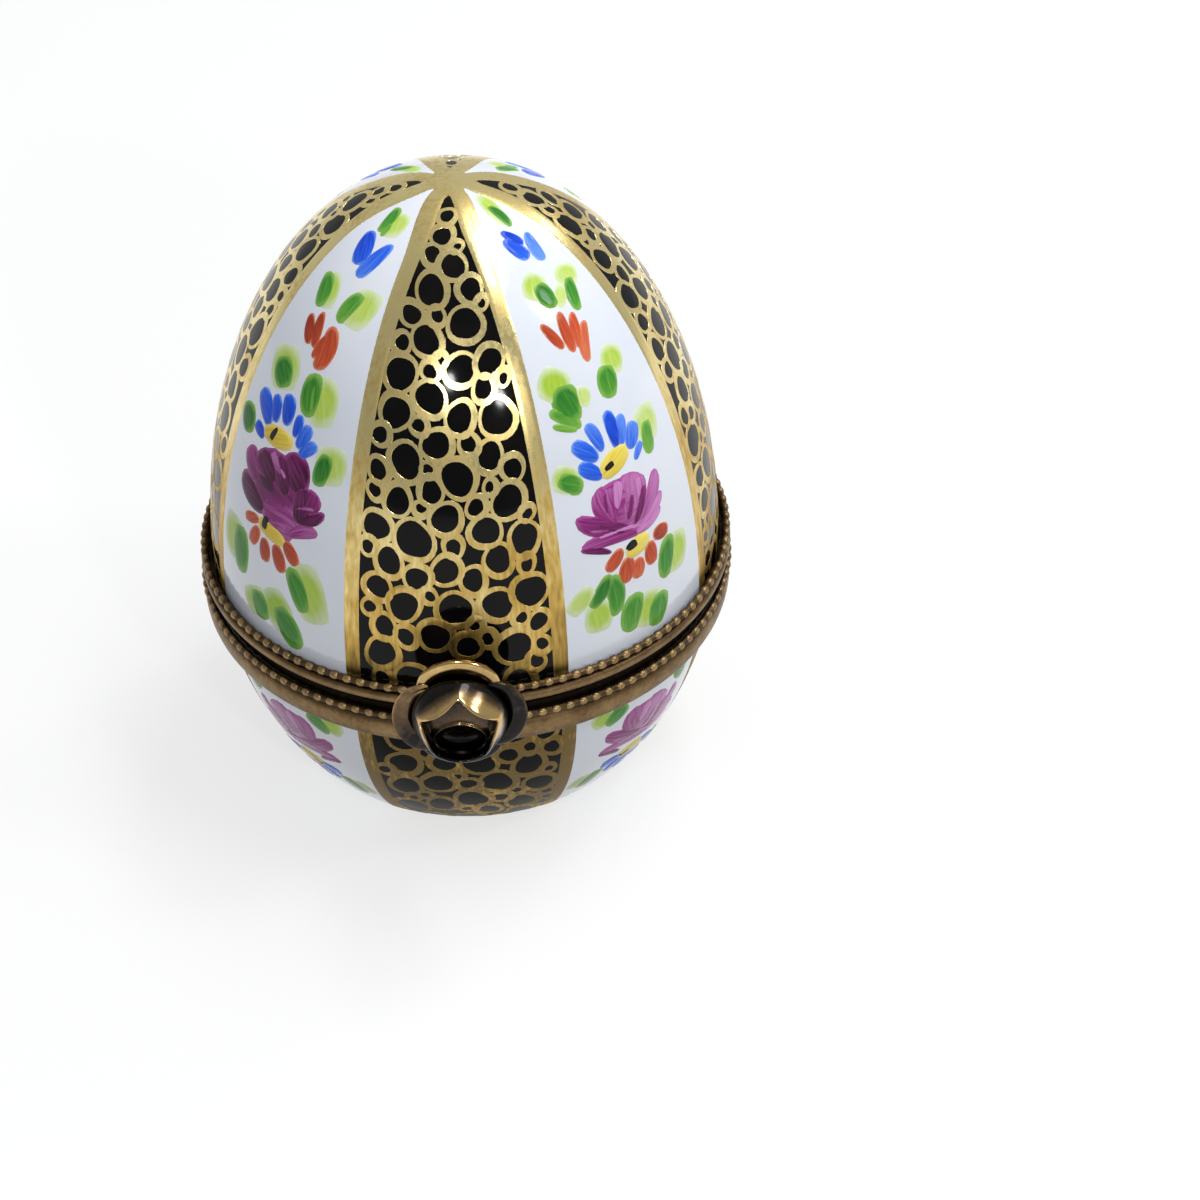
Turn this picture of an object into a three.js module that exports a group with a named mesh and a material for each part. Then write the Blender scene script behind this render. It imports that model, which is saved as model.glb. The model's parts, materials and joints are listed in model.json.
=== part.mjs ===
// Porcelain egg box: a tall domed lid on a shallow bowl, each half set in a brass rim.
// A five-knuckle barrel hinge joins the rims at the back, and a rose clasp closes them in front.
// Millimetres, +Z up. The origin is the centre of the flat foot, and the clasp faces -Y.
import * as THREE from "three";

// Porcelain
const rimRadius = 25; // outside of the porcelain at the parting plane
const lidHeight = 41; // parting plane to the top of the egg
const lidFullness = 2.12; // exponent of the lid's outline, 2 being a plain ellipse
const baseHeight = 21.8; // foot to parting plane
const footRadius = 17.2; // where the bowl's curve would meet the foot plane
const wall = 2.6; // porcelain thickness
const footRound = 1.6; // rounding between the bowl and its flat foot
const floorRound = 3; // rounding between the inside wall and the floor

// Brass rims
const seatGap = 0.12; // cement line between porcelain and brass, and between soldered pieces
const partingGap = 0.3; // between the two rims when the box is shut
const flangeThickness = 0.8; // ledge that the porcelain edge stands on
const bandNeck = 0.3; // brass left behind the base rim's beads
const lidBandHeight = 1.75; // from the parting plane
const baseBandHeight = 4;
const bandCrown = 0.45; // how far the half-round bands stand out in the middle
const grooveDepth = 0.95; // how far the facing edges are cut back
const grooveRise = 0.85;
const beadRadius = 0.42; // beaded wire along each rim
const beadPitch = 1.36;
const beadNeck = 0.62; // thickness between two beads, as a share of a bead
const beadSides = 5;

// Hinge
const knuckleCount = 5;
const knuckleLength = 2.5;
const knuckleGap = 0.15;
const knuckleRadius = 1.4;
const pinRadius = 0.5;
const pinClearance = 0.08;
const pinHeadRadius = 0.85;
const pinHeadLength = 0.35;
const leafThickness = 0.6; // at the middle, where the rim stands out furthest
const leafSetback = 0.55; // from the parting plane to the leaf's edge
const webTop = 1; // from the parting plane to a knuckle's foot on its leaf
const webToe = 0.3;
const webSetback = 0.35; // from the end of a knuckle's foot to the end of its leaf

// Clasp
const claspHeight = 3; // rose axis above the parting plane
const haspWidth = 4.6;
const haspThickness = 0.9;
const haspTop = 3.4;
const haspReach = 3.3; // below the parting plane
const catchWidth = 3.2;
const catchHeight = 1;
const catchProud = 0.42;
const snapClearance = 0.12; // between the catch and the tongue that rides over it
const lobeCount = 4;
const lobeRadius = 4.6;
const lobeOffset = 1.6;
const petalThickness = 0.9; // plate in the middle, which carries the bud
const cupHeight = 2.1; // from the back of the plate to the petals' lips
const lipWidth = 1;
const lipThickness = 0.5;
const budRadius = 4.4;
const budHeight = 3.9;
const budPetals = 5;
const mouthRise = 0.9; // how far the bud's lips stand up between the points of its mouth

// Facets
const turnSegments = 64;
const curveSteps = 11;
const innerSteps = 7;
const bandSteps = 6;
const roseSegments = 40;

// Sizes that follow from the ones above
const bowlDepth = baseHeight / Math.sqrt(1 - (footRadius / rimRadius) ** 2); // of the bowl's ellipse
const bandInner = rimRadius + seatGap;
const beadLedge = bandInner + bandNeck;
const bandOuter = beadLedge + seatGap + 1.5 * beadRadius;
const flangeInner = rimRadius - wall;
const seatHeight = partingGap / 2 + flangeThickness;
const edgeHeight = seatHeight + seatGap;
const lidBeadTop = lidBandHeight + seatGap + 2 * beadRadius;
const baseBeadDrop = partingGap / 2 + grooveRise / 2 + beadRadius;
const leafFace = bandOuter + seatGap + leafThickness;
const hingeLength = knuckleCount * knuckleLength + (knuckleCount - 1) * knuckleGap;
const hingeAxis = leafFace + seatGap + knuckleRadius;
const hingeHalfAngle = Math.asin((hingeLength / 2 + beadRadius) / bandOuter);
const haspInner = bandOuter + seatGap + catchProud + snapClearance;
const haspFront = haspInner + haspThickness;

const porcelain = new THREE.MeshStandardMaterial({ color: 0xf2f3f6, roughness: 0.12, metalness: 0 });
const brass = new THREE.MeshStandardMaterial({ color: 0x8a6f40, roughness: 0.35, metalness: 1 });
const darkBrass = new THREE.MeshStandardMaterial({ color: 0x5f4a2c, roughness: 0.4, metalness: 1 });
const steel = new THREE.MeshStandardMaterial({ color: 0xa9a49a, roughness: 0.3, metalness: 1 });

const point = (x, y) => new THREE.Vector2(x, y);
const steps = (count, make) => Array.from({ length: count + 1 }, (_, i) => make(i / count));

// Solid of revolution about Z from a profile of (radius, height) points that run counter-clockwise.
function revolve(profile, segments = turnSegments) {
  return new THREE.LatheGeometry(profile, segments).rotateX(Math.PI / 2);
}

// A flat (y, z) outline drawn out along X and centred on the YZ plane.
function drawAlongX(outline, length, curveSegments = 12) {
  const solid = new THREE.ExtrudeGeometry(outline, { depth: length, bevelEnabled: false, curveSegments });
  solid.translate(0, 0, -length / 2);
  const x = new THREE.Vector3(1, 0, 0);
  const y = new THREE.Vector3(0, 1, 0);
  const z = new THREE.Vector3(0, 0, 1);
  return solid.applyMatrix4(new THREE.Matrix4().makeBasis(y, z, x));
}

function polygon(corners) {
  return new THREE.Shape(corners.map(([y, z]) => point(y, z)));
}

// Lid: a superellipse dome, open below, whose inside follows its outside.
function domeCurve(radius, height, count) {
  const start = Math.asin((edgeHeight / height) ** (lidFullness / 2));
  return steps(count, (t) => {
    const angle = start + t * (Math.PI / 2 - start);
    const r = t === 1 ? 0 : radius * Math.cos(angle);
    return point(r, height * Math.sin(angle) ** (2 / lidFullness));
  });
}

function lidShell() {
  const outside = domeCurve(rimRadius, lidHeight, curveSteps + 2);
  const inside = domeCurve(rimRadius - wall, lidHeight - wall, innerSteps).reverse();
  return revolve([...inside, ...outside]);
}

// Base: a bowl cut from an ellipse, with a flat foot below and a flat floor inside.
function bowlRadius(radius, depth, drop) {
  return radius * Math.sqrt(1 - (drop / depth) ** 2);
}

function bowlCurve(radius, depth, from, to, count) {
  return steps(count, (t) => {
    const drop = from + t * (to - from);
    return point(bowlRadius(radius, depth, drop), -drop);
  });
}

// A bowl corner rounded from the flat at the given drop into the wall above it.
function roundedCorner(radius, depth, drop, round) {
  const flatEnd = point(bowlRadius(radius, depth, drop) - round, -drop);
  const corner = point(bowlRadius(radius, depth, drop), -drop);
  const wallStart = point(bowlRadius(radius, depth, drop - round), round - drop);
  return new THREE.QuadraticBezierCurve(flatEnd, corner, wallStart).getPoints(3);
}

function baseShell() {
  const floorDrop = baseHeight - wall;
  const innerRadius = rimRadius - wall;
  const innerDepth = bowlDepth - wall;
  const foot = roundedCorner(rimRadius, bowlDepth, baseHeight, footRound);
  const outside = bowlCurve(rimRadius, bowlDepth, baseHeight - footRound, edgeHeight, curveSteps - 3);
  const inside = bowlCurve(innerRadius, innerDepth, edgeHeight, floorDrop - floorRound, innerSteps - 2);
  const floor = roundedCorner(innerRadius, innerDepth, floorDrop, floorRound).reverse();
  const footCentre = point(0, -baseHeight);
  const floorCentre = point(0, -floorDrop);
  return revolve([footCentre, ...foot, ...outside.slice(1), ...inside, ...floor.slice(1), floorCentre]);
}

// Half-round face of a band, from its lower edge to its upper edge.
function halfRound(low, high) {
  return steps(bandSteps, (share) => {
    const turn = Math.PI * (share - 0.5);
    return point(bandOuter - bandCrown * (1 - Math.cos(turn)), (low + high) / 2 + ((high - low) / 2) * Math.sin(turn));
  });
}

// Rims: an angle section, a ledge under the porcelain edge and a band around it.
function lidBezel() {
  const low = partingGap / 2;
  return revolve([
    point(flangeInner, low),
    point(bandOuter - grooveDepth, low),
    ...halfRound(low + grooveRise / 2, lidBandHeight),
    point(bandInner, lidBandHeight),
    point(bandInner, seatHeight),
    point(flangeInner, seatHeight),
    point(flangeInner, low),
  ]);
}

function baseBezel() {
  const high = -partingGap / 2;
  const ledge = -baseBeadDrop - beadRadius - seatGap;
  const foldedIn = bowlRadius(rimRadius, bowlDepth, baseBandHeight) + seatGap;
  return revolve([
    point(flangeInner, high),
    point(flangeInner, -seatHeight),
    point(bandInner, -seatHeight),
    point(foldedIn, -baseBandHeight),
    ...halfRound(-baseBandHeight, ledge),
    point(beadLedge, ledge),
    point(beadLedge, high - grooveRise / 2),
    point(bandOuter - grooveDepth, high),
    point(flangeInner, high),
  ]);
}

// Beaded wire: a round wire that swells into a bead at every pitch, open behind for the hinge.
function beadWire(ringRadius, height) {
  const sweep = 2 * Math.PI - 2 * hingeHalfAngle;
  const beads = Math.round((ringRadius * sweep) / beadPitch);
  const positions = [];
  const indices = [];
  const rings = 2 * beads;
  for (let i = 0; i <= rings; i += 1) {
    const angle = Math.PI / 2 + hingeHalfAngle + (sweep * i) / rings;
    const swell = beadRadius * (i % 2 ? 1 : beadNeck);
    for (let side = 0; side < beadSides; side += 1) {
      const turn = (2 * Math.PI * side) / beadSides;
      const r = ringRadius + swell * Math.cos(turn);
      positions.push(r * Math.cos(angle), r * Math.sin(angle), height + swell * Math.sin(turn));
    }
  }
  for (let i = 0; i < rings; i += 1) {
    for (let side = 0; side < beadSides; side += 1) {
      const a = i * beadSides + side;
      const b = i * beadSides + ((side + 1) % beadSides);
      indices.push(a, a + beadSides, b, b, a + beadSides, b + beadSides);
    }
  }
  const last = rings * beadSides;
  for (let side = 1; side < beadSides - 1; side += 1) {
    indices.push(0, side, side + 1, last, last + side + 1, last + side);
  }
  const wire = new THREE.BufferGeometry();
  wire.setAttribute("position", new THREE.Float32BufferAttribute(positions, 3));
  wire.setIndex(indices);
  return wire;
}

// Hinge leaf: hollowed behind to sit on the round band, flat outside for the knuckles.
function hingeLeaf(low, high) {
  const seat = bandOuter + seatGap;
  const halfAngle = Math.asin(hingeLength / 2 / seat);
  const outline = new THREE.Shape();
  outline.moveTo(-hingeLength / 2, leafFace);
  outline.lineTo(-hingeLength / 2, seat * Math.cos(halfAngle));
  outline.absarc(0, 0, seat, Math.PI / 2 + halfAngle, Math.PI / 2 - halfAngle, true);
  outline.lineTo(hingeLength / 2, leafFace);
  const leaf = new THREE.ExtrudeGeometry(outline, { depth: high - low, bevelEnabled: false, curveSegments: 10 });
  return leaf.translate(0, 0, low);
}

// Knuckle: a tube with a foot that reaches its own leaf, upwards for the lid and downwards for the base.
function hingeKnuckle(side, leafEnd) {
  const face = leafFace + seatGap;
  const footEnd = leafEnd - webSetback;
  const outline = new THREE.Shape();
  const front = -Math.PI * 0.28;
  const back = Math.PI * 1.22;
  outline.moveTo(face, side * webTop);
  outline.lineTo(face, side * footEnd);
  outline.lineTo(face + webToe, side * footEnd);
  outline.absarc(hingeAxis, 0, knuckleRadius, -side * front, -side * back, side > 0);
  const bore = new THREE.Path();
  bore.absarc(hingeAxis, 0, pinRadius + pinClearance, 0, 2 * Math.PI, false);
  outline.holes.push(bore);
  return drawAlongX(outline, knuckleLength, 10);
}

// Hinge pin: a plain rod whose ends are spread into low heads.
function hingePin() {
  const half = hingeLength / 2 + seatGap;
  const end = half + pinHeadLength;
  const profile = [
    point(0, -end),
    point(pinHeadRadius * 0.7, -end),
    point(pinHeadRadius, -half - pinHeadLength / 2),
    point(pinHeadRadius, -half),
    point(pinRadius, -half),
    point(pinRadius, half),
    point(pinHeadRadius, half),
    point(pinHeadRadius, half + pinHeadLength / 2),
    point(pinHeadRadius * 0.7, end),
    point(0, end),
  ];
  return new THREE.LatheGeometry(profile, 16).rotateZ(-Math.PI / 2);
}

// Hasp: a pad on the lid band with a tongue that hangs clear of the base rim.
function claspHasp() {
  const pad = -(bandOuter + seatGap);
  const padFoot = partingGap / 2 + grooveRise;
  const section = polygon([
    [pad, padFoot],
    [-haspInner, padFoot - seatGap],
    [-haspInner, -haspReach],
    [-haspFront, -haspReach],
    [-haspFront, haspTop],
    [pad, haspTop],
  ]);
  return drawAlongX(section, haspWidth);
}

// Catch: a half-round bar on the base band that the tongue snaps over.
function claspCatch() {
  const back = -(bandOuter + seatGap);
  const middle = (-baseBandHeight - baseBeadDrop - beadRadius - seatGap) / 2;
  const outline = new THREE.Shape();
  outline.moveTo(back, middle + catchHeight / 2);
  outline.absellipse(back, middle, catchProud, catchHeight / 2, Math.PI / 2, 1.5 * Math.PI, false, 0);
  return drawAlongX(outline, catchWidth, 8);
}

// A flower form: a profile turned about the clasp axis, each ring then drawn in or out round the petals.
// The profile holds [radius, height, scale(angle), lift(angle)], and angle 0 points straight up.
function flower(profile, segments) {
  const turned = new THREE.LatheGeometry(profile.map(([r, h]) => point(r, h)), segments);
  const place = turned.getAttribute("position");
  const rings = profile.length;
  for (let i = 0; i < place.count; i += 1) {
    const [, , scale, lift] = profile[i % rings];
    const angle = Math.atan2(place.getX(i), -place.getZ(i));
    const grow = scale(angle);
    place.setXYZ(i, place.getX(i) * grow, place.getY(i) + lift(angle), place.getZ(i) * grow);
  }
  return turned.rotateX(Math.PI);
}

const round = () => 1;
const level = () => 0;

// Rosette: overlapping round petals, cupped round the bud, with lips that roll outwards.
function claspRosette() {
  const reach = lobeOffset + lobeRadius;
  const cup = reach - lipWidth;
  const lipBack = cupHeight - lipThickness;
  const span = (2 * Math.PI) / lobeCount;
  const lobes = (angle) => {
    const off = angle - span * Math.round(angle / span);
    const across = lobeOffset * Math.sin(off);
    return (lobeOffset * Math.cos(off) + Math.sqrt(lobeRadius ** 2 - across ** 2)) / reach;
  };
  return flower(
    [
      [0, 0, round, level],
      [cup - lipWidth, 0, lobes, level],
      [cup + lipThickness / 4, lipBack / 2, lobes, level],
      [reach - lipThickness / 4, lipBack, lobes, level],
      [reach, cupHeight - lipThickness / 2, lobes, level],
      [reach - lipThickness / 2, cupHeight, lobes, level],
      [cup, cupHeight - lipThickness / 4, lobes, level],
      [cup - lipWidth / 4, (cupHeight + petalThickness) / 2.4, lobes, level],
      [cup - 0.7 * lipWidth, petalThickness, lobes, level],
      [0, petalThickness, round, level],
    ],
    roseSegments,
  );
}

// Bud: a globe of folded petals whose lips leave a wide five-sided mouth, with a smaller ring of petals inside.
function claspBud() {
  const span = (2 * Math.PI) / budPetals;
  const narrowest = Math.cos(span / 2);
  const fiveSided = (angle) => narrowest / Math.cos(angle - span * (Math.floor(angle / span) + 0.5));
  const sides = (share) => (angle) => 1 - share * (1 - fiveSided(angle));
  const raise = (height) => (angle) => (height * (1 - fiveSided(angle))) / (1 - narrowest);
  return flower(
    [
      [0, 0, round, level],
      [0.86 * budRadius, 0, round, level],
      [budRadius, 0.3 * budHeight, round, level],
      [0.96 * budRadius, 0.52 * budHeight, sides(0.25), level],
      [0.9 * budRadius, 0.68 * budHeight, sides(0.7), raise(0.6 * mouthRise)],
      [0.84 * budRadius, budHeight - mouthRise, sides(1), raise(mouthRise)],
      [0.76 * budRadius, 0.66 * budHeight, sides(1), raise(0.5 * mouthRise)],
      [0.6 * budRadius, 0.4 * budHeight, sides(0.5), level],
      [0.5 * budRadius, 0.6 * budHeight, round, level],
      [0.38 * budRadius, 0.58 * budHeight, round, level],
      [0.3 * budRadius, 0.38 * budHeight, round, level],
      [0, 0.36 * budHeight, round, level],
    ],
    roseSegments,
  );
}

function piece(parent, name, geometry, material) {
  const mesh = new THREE.Mesh(geometry, material);
  mesh.name = name;
  parent.add(mesh);
  return mesh;
}

// Everything is drawn from the parting plane, which stands one base height above the foot.
const box = new THREE.Group();
const base = new THREE.Group();
const lid = new THREE.Group();
base.position.z = baseHeight;
lid.position.z = baseHeight;
box.add(base, lid);

piece(base, "base_shell", baseShell(), porcelain);
piece(base, "base_bezel", baseBezel(), brass);
piece(base, "base_bead_wire", beadWire(bandOuter - beadRadius / 2, -baseBeadDrop), brass);
piece(base, "hinge_base_leaf", hingeLeaf(-baseBandHeight, -leafSetback), brass);
piece(base, "clasp_catch", claspCatch(), brass);

piece(lid, "lid_shell", lidShell(), porcelain);
piece(lid, "lid_bezel", lidBezel(), brass);
piece(lid, "lid_bead_wire", beadWire(bandOuter - beadRadius, lidBeadTop - beadRadius), brass);
piece(lid, "hinge_lid_leaf", hingeLeaf(leafSetback, lidBeadTop), brass);
piece(lid, "clasp_hasp", claspHasp(), brass);

for (let i = 0; i < knuckleCount; i += 1) {
  const onLid = i % 2 === 1;
  const tube = onLid ? hingeKnuckle(1, lidBeadTop) : hingeKnuckle(-1, baseBandHeight);
  const knuckle = piece(onLid ? lid : base, `hinge_knuckle_${i + 1}`, tube, brass);
  knuckle.position.x = (i - (knuckleCount - 1) / 2) * (knuckleLength + knuckleGap);
}
const pin = piece(base, "hinge_pin", hingePin(), steel);
pin.position.y = hingeAxis;

const rosette = piece(lid, "clasp_rosette", claspRosette(), brass);
rosette.position.set(0, -haspFront - seatGap, claspHeight);
const bud = piece(lid, "clasp_bud", claspBud(), darkBrass);
bud.position.set(0, rosette.position.y - petalThickness - seatGap, claspHeight);

export default box;
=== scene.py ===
# %% [markdown]
# # A painted porcelain egg box
#
# The real box is two glazed porcelain shells, each cemented into a beaded brass rim. The rims meet
# at a barrel hinge behind and a rose clasp in front. Eight upright panels run round the egg: four
# are black and crowded with gold rings, and four are white with a spray of flowers.
#
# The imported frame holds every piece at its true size, so nothing here is fitted by eye. Each step
# dresses one piece, or adds the paint and gilding that lie on it.

import json
import math
import random

import bmesh
import bpy
import numpy as np
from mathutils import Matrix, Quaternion, Vector

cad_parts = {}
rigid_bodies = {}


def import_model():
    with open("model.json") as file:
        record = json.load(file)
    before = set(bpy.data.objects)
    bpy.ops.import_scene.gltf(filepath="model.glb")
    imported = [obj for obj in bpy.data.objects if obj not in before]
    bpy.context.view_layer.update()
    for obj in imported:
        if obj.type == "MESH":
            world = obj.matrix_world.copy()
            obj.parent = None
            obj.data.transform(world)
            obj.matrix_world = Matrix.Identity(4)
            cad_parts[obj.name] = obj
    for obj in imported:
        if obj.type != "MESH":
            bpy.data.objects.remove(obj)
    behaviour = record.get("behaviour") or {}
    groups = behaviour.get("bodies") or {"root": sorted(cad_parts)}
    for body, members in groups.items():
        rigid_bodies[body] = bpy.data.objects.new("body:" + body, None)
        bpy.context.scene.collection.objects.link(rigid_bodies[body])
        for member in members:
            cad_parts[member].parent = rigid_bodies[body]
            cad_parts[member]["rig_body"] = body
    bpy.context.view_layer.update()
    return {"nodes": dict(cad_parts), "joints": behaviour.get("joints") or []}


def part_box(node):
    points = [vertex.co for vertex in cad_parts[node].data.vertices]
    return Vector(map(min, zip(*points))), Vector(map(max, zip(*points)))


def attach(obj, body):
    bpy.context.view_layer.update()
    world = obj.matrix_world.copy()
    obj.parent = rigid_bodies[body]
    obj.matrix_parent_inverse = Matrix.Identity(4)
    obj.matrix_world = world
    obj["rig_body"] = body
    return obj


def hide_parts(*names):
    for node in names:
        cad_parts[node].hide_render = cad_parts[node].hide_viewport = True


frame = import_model()
MM = 0.001

# %% [markdown]
# ## Sizes
#
# The frame gives the heights and the rims. Five numbers repeat the maker's drawing, because a box
# can't tell them: the porcelain's radius at the parting plane, how full the lid's outline is, where
# the bowl's curve would meet the foot, the thickness of the wall and the rounding of the foot.

# %% Sizes that every step shares
RIM_RADIUS = 25 * MM
LID_FULLNESS = 2.12
FOOT_RADIUS = 17.2 * MM
WALL = 2.6 * MM
FOOT_ROUND = 1.6 * MM
PARTING = frame["joints"][0]["pos_m"][2]
LID_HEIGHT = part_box("lid_shell")[1].z - PARTING
LID_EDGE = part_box("lid_shell")[0].z - PARTING
BASE_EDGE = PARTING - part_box("base_shell")[1].z
BASE_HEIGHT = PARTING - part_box("base_shell")[0].z
BOWL_DEPTH = BASE_HEIGHT / math.sqrt(1 - (FOOT_RADIUS / RIM_RADIUS) ** 2)
BAND_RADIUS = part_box("lid_bezel")[1].x
TINY = 1e-6
print("parting plane, lid and base, mm:", [round(x / MM, 2) for x in (PARTING, LID_HEIGHT, BASE_HEIGHT)])

# %% [markdown]
# ## Camera
#
# The camera comes first, because it decides what is worth detailing. It stands a forearm's length
# away and well above the rim, a little to the right of the clasp. It aims past the egg, so that the
# egg sits left of the middle as in the photograph, and it has no lens shift to carry into other views.

# %% Place the camera
VIEW_DISTANCE = 269.2 * MM
VIEW_AZIMUTH = math.radians(2.7)
VIEW_ELEVATION = math.radians(37.7)
VIEW_ROLL = math.radians(-0.6)
AIM_RIGHT = 12.96 * MM
AIM_DOWN = 6.64 * MM
PHOTO_PIXELS = 1200
FOCAL_PIXELS = 2700
SENSOR = 36
NEAREST = 10 * MM


def outward_from(azimuth, elevation):
    """A direction away from the egg, with the azimuth from the clasp towards +X."""
    level = math.cos(elevation)
    return Vector((math.sin(azimuth) * level, -math.cos(azimuth) * level, math.sin(elevation)))


def add_camera():
    data = bpy.data.cameras.new("camera")
    data.sensor_width = SENSOR
    data.lens = SENSOR * FOCAL_PIXELS / PHOTO_PIXELS
    data.clip_start = NEAREST
    camera = bpy.data.objects.new("camera", data)
    bpy.context.scene.collection.objects.link(camera)
    outward = outward_from(VIEW_AZIMUTH, VIEW_ELEVATION)
    rim_centre = Vector((0, 0, PARTING))
    straight = (-outward).to_track_quat("-Z", "Y")
    aim = rim_centre + straight @ Vector((AIM_RIGHT, -AIM_DOWN, 0))
    camera.location = rim_centre + outward * VIEW_DISTANCE
    facing = (aim - camera.location).to_track_quat("-Z", "Y")
    camera.rotation_mode = "QUATERNION"
    camera.rotation_quaternion = facing @ Quaternion((0, 0, 1), VIEW_ROLL)
    bpy.context.scene.camera = camera
    return camera


print("lens, mm:", add_camera().data.lens)

# %% [markdown]
# ## Small helpers
#
# A bmesh is a mesh on the workbench: operators shape it, and then it becomes an object. Every piece
# ends the same way, so one helper names it, gives it its finish, and lets it ride on its body.

# %% From bmesh to a riding piece
SMOOTH_BELOW = math.radians(38)


def finish_piece(bm, name, body, finishes, replaces=()):
    mesh = bpy.data.meshes.new(name)
    for face in bm.faces:
        face.smooth = True
    bm.to_mesh(mesh)
    bm.free()
    mesh.set_sharp_from_angle(angle=SMOOTH_BELOW)
    piece = bpy.data.objects.new(name, mesh)
    bpy.context.scene.collection.objects.link(piece)
    for finish in finishes:
        mesh.materials.append(finish)
    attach(piece, body)
    if replaces:
        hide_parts(*replaces)
    print(name, len(mesh.polygons), "faces")
    return piece


print("edges look smooth below, degrees:", round(math.degrees(SMOOTH_BELOW)))

# %% Spin, weld and thicken
WELD_WITHIN = 0.0001 * MM
CENTRE = (0, 0, 0)
AXIS = (0, 0, 1)


def chain(bm, points, closed=False):
    """A run of edges through (radius, height) points in the XZ plane, ready to be spun."""
    verts = [bm.verts.new((radius, 0, height)) for radius, height in points]
    followers = verts[1:] + verts[:1] if closed else verts[1:]
    return verts + [bm.edges.new(pair) for pair in zip(verts, followers)]


def spin(bm, profile, segments, angle=2 * math.pi, merge=True):
    bmesh.ops.spin(bm, geom=profile, cent=CENTRE, axis=AXIS, angle=angle, steps=segments, use_merge=merge)


def turn(bm, points, segments, material=0):
    """Spins a run of points about the egg's axis and gives the new faces a finish."""
    known = set(bm.faces)
    spin(bm, chain(bm, points), segments)
    for face in set(bm.faces) - known:
        face.material_index = material


def face_outwards(bm):
    bmesh.ops.recalc_face_normals(bm, faces=bm.faces[:])


def weld(bm, distance=WELD_WITHIN):
    bmesh.ops.remove_doubles(bm, verts=bm.verts[:], dist=distance)
    face_outwards(bm)


def thicken(bm, thickness):
    bmesh.ops.solidify(bm, geom=bm.faces[:], thickness=thickness)
    face_outwards(bm)


print("points are welded within, mm:", WELD_WITHIN / MM)

# %% [markdown]
# Finishes are node trees. A few helpers keep them short: one starts a material with its shader, and
# one gives a node its inputs, each a plain value or a link from another node's output. The others
# add the nodes that come back in every finish.

# %% Start a finish
def tone(red, green, blue):
    """An sRGB colour, as a paint chart gives it, in the linear values that nodes use."""
    shares = [channel / 255 for channel in (red, green, blue)]
    return tuple(s / 12.92 if s <= 0.04045 else ((s + 0.055) / 1.055) ** 2.4 for s in shares) + (1.0,)


def start_finish(name):
    finish = bpy.data.materials.new(name)
    finish.use_nodes = True
    tree = finish.node_tree
    return finish, tree, tree.nodes["Principled BSDF"]


def set_inputs(node, inputs):
    for socket, value in inputs.items():
        if isinstance(value, bpy.types.NodeSocket):
            node.id_data.links.new(value, node.inputs[socket])
        else:
            node.inputs[socket].default_value = value


def add(tree, kind, inputs=None, **settings):
    node = tree.nodes.new(kind)
    for setting, value in settings.items():
        setattr(node, setting, value)
    set_inputs(node, inputs or {})
    return node


print("a paint chart's middle grey in linear light:", round(tone(128, 128, 128)[0], 3))

# %% Nodes that come back
NOISE_RANGE = (0.3, 0.7)


def coordinates(tree, kind):
    return add(tree, "ShaderNodeTexCoord").outputs[kind]


def attribute(tree, name):
    return add(tree, "ShaderNodeAttribute", attribute_name=name).outputs["Fac"]


def mapped(tree, place, scale, **more):
    return add(tree, "ShaderNodeMapping", {"Vector": place, "Scale": scale, **more}).outputs["Vector"]


def calc(tree, operation, first, second):
    return add(tree, "ShaderNodeMath", {0: first, 1: second}, operation=operation).outputs[0]


def ramp(tree, factor, stops):
    node = add(tree, "ShaderNodeValToRGB", {"Fac": factor})
    elements = node.color_ramp.elements
    while len(elements) < len(stops):
        elements.new(0.5)
    for element, (position, colour) in zip(elements, stops):
        element.position = position
        element.color = colour
    return node.outputs["Color"]


def mix(tree, factor, first, second):
    return add(tree, "ShaderNodeMix", {0: factor, 6: first, 7: second}, data_type="RGBA").outputs[2]


def noise(tree, place, scale, detail=3.0, roughness=0.5):
    inputs = {"Vector": place, "Scale": scale, "Detail": detail, "Roughness": roughness}
    return add(tree, "ShaderNodeTexNoise", inputs).outputs["Fac"]


def spread(tree, value, low, high, new_low=0.0, new_high=1.0):
    inputs = {"Value": value, "From Min": low, "From Max": high, "To Min": new_low, "To Max": new_high}
    return add(tree, "ShaderNodeMapRange", inputs).outputs["Result"]


def bump(tree, height, strength, distance):
    inputs = {"Height": height, "Strength": strength, "Distance": distance}
    return add(tree, "ShaderNodeBump", inputs).outputs["Normal"]


print("nearly all of a noise lies between:", NOISE_RANGE)

# %% [markdown]
# ## The egg's outline
#
# Everything painted lies on the egg, so its outline is worked out once, as a curve of radius and
# height against the distance travelled from the rim. Artwork is then drawn flat, as on a transfer
# sheet, and wrapped: sideways becomes an angle, upwards a distance along the curve, and height a lift
# off the glaze.

# %% Meridians of the lid and the bowl
OUTLINE_SAMPLES = 600
ROUND_POINTS = 9


def lid_outline(radius, height, start, count):
    first = math.asin((start / height) ** (LID_FULLNESS / 2))
    turns = np.linspace(first, math.pi / 2, count)
    return radius * np.cos(turns), height * np.sin(turns) ** (2 / LID_FULLNESS)


def bowl_outline(radius, depth, start, end, count):
    drop = np.linspace(start, end, count)
    return radius * np.sqrt(1 - (drop / depth) ** 2), -drop


def rounded_corner(radius, depth, drop, size):
    """Points from a flat at the given drop round into the wall above it."""
    wall_radius = [radius * math.sqrt(1 - (d / depth) ** 2) for d in (drop, drop - size)]
    start, corner = Vector((wall_radius[0] - size, -drop)), Vector((wall_radius[0], -drop))
    end = Vector((wall_radius[1], size - drop))
    shares = np.linspace(0, 1, ROUND_POINTS)
    return [tuple(start * (1 - t) ** 2 + corner * 2 * t * (1 - t) + end * t * t) for t in shares]


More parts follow.
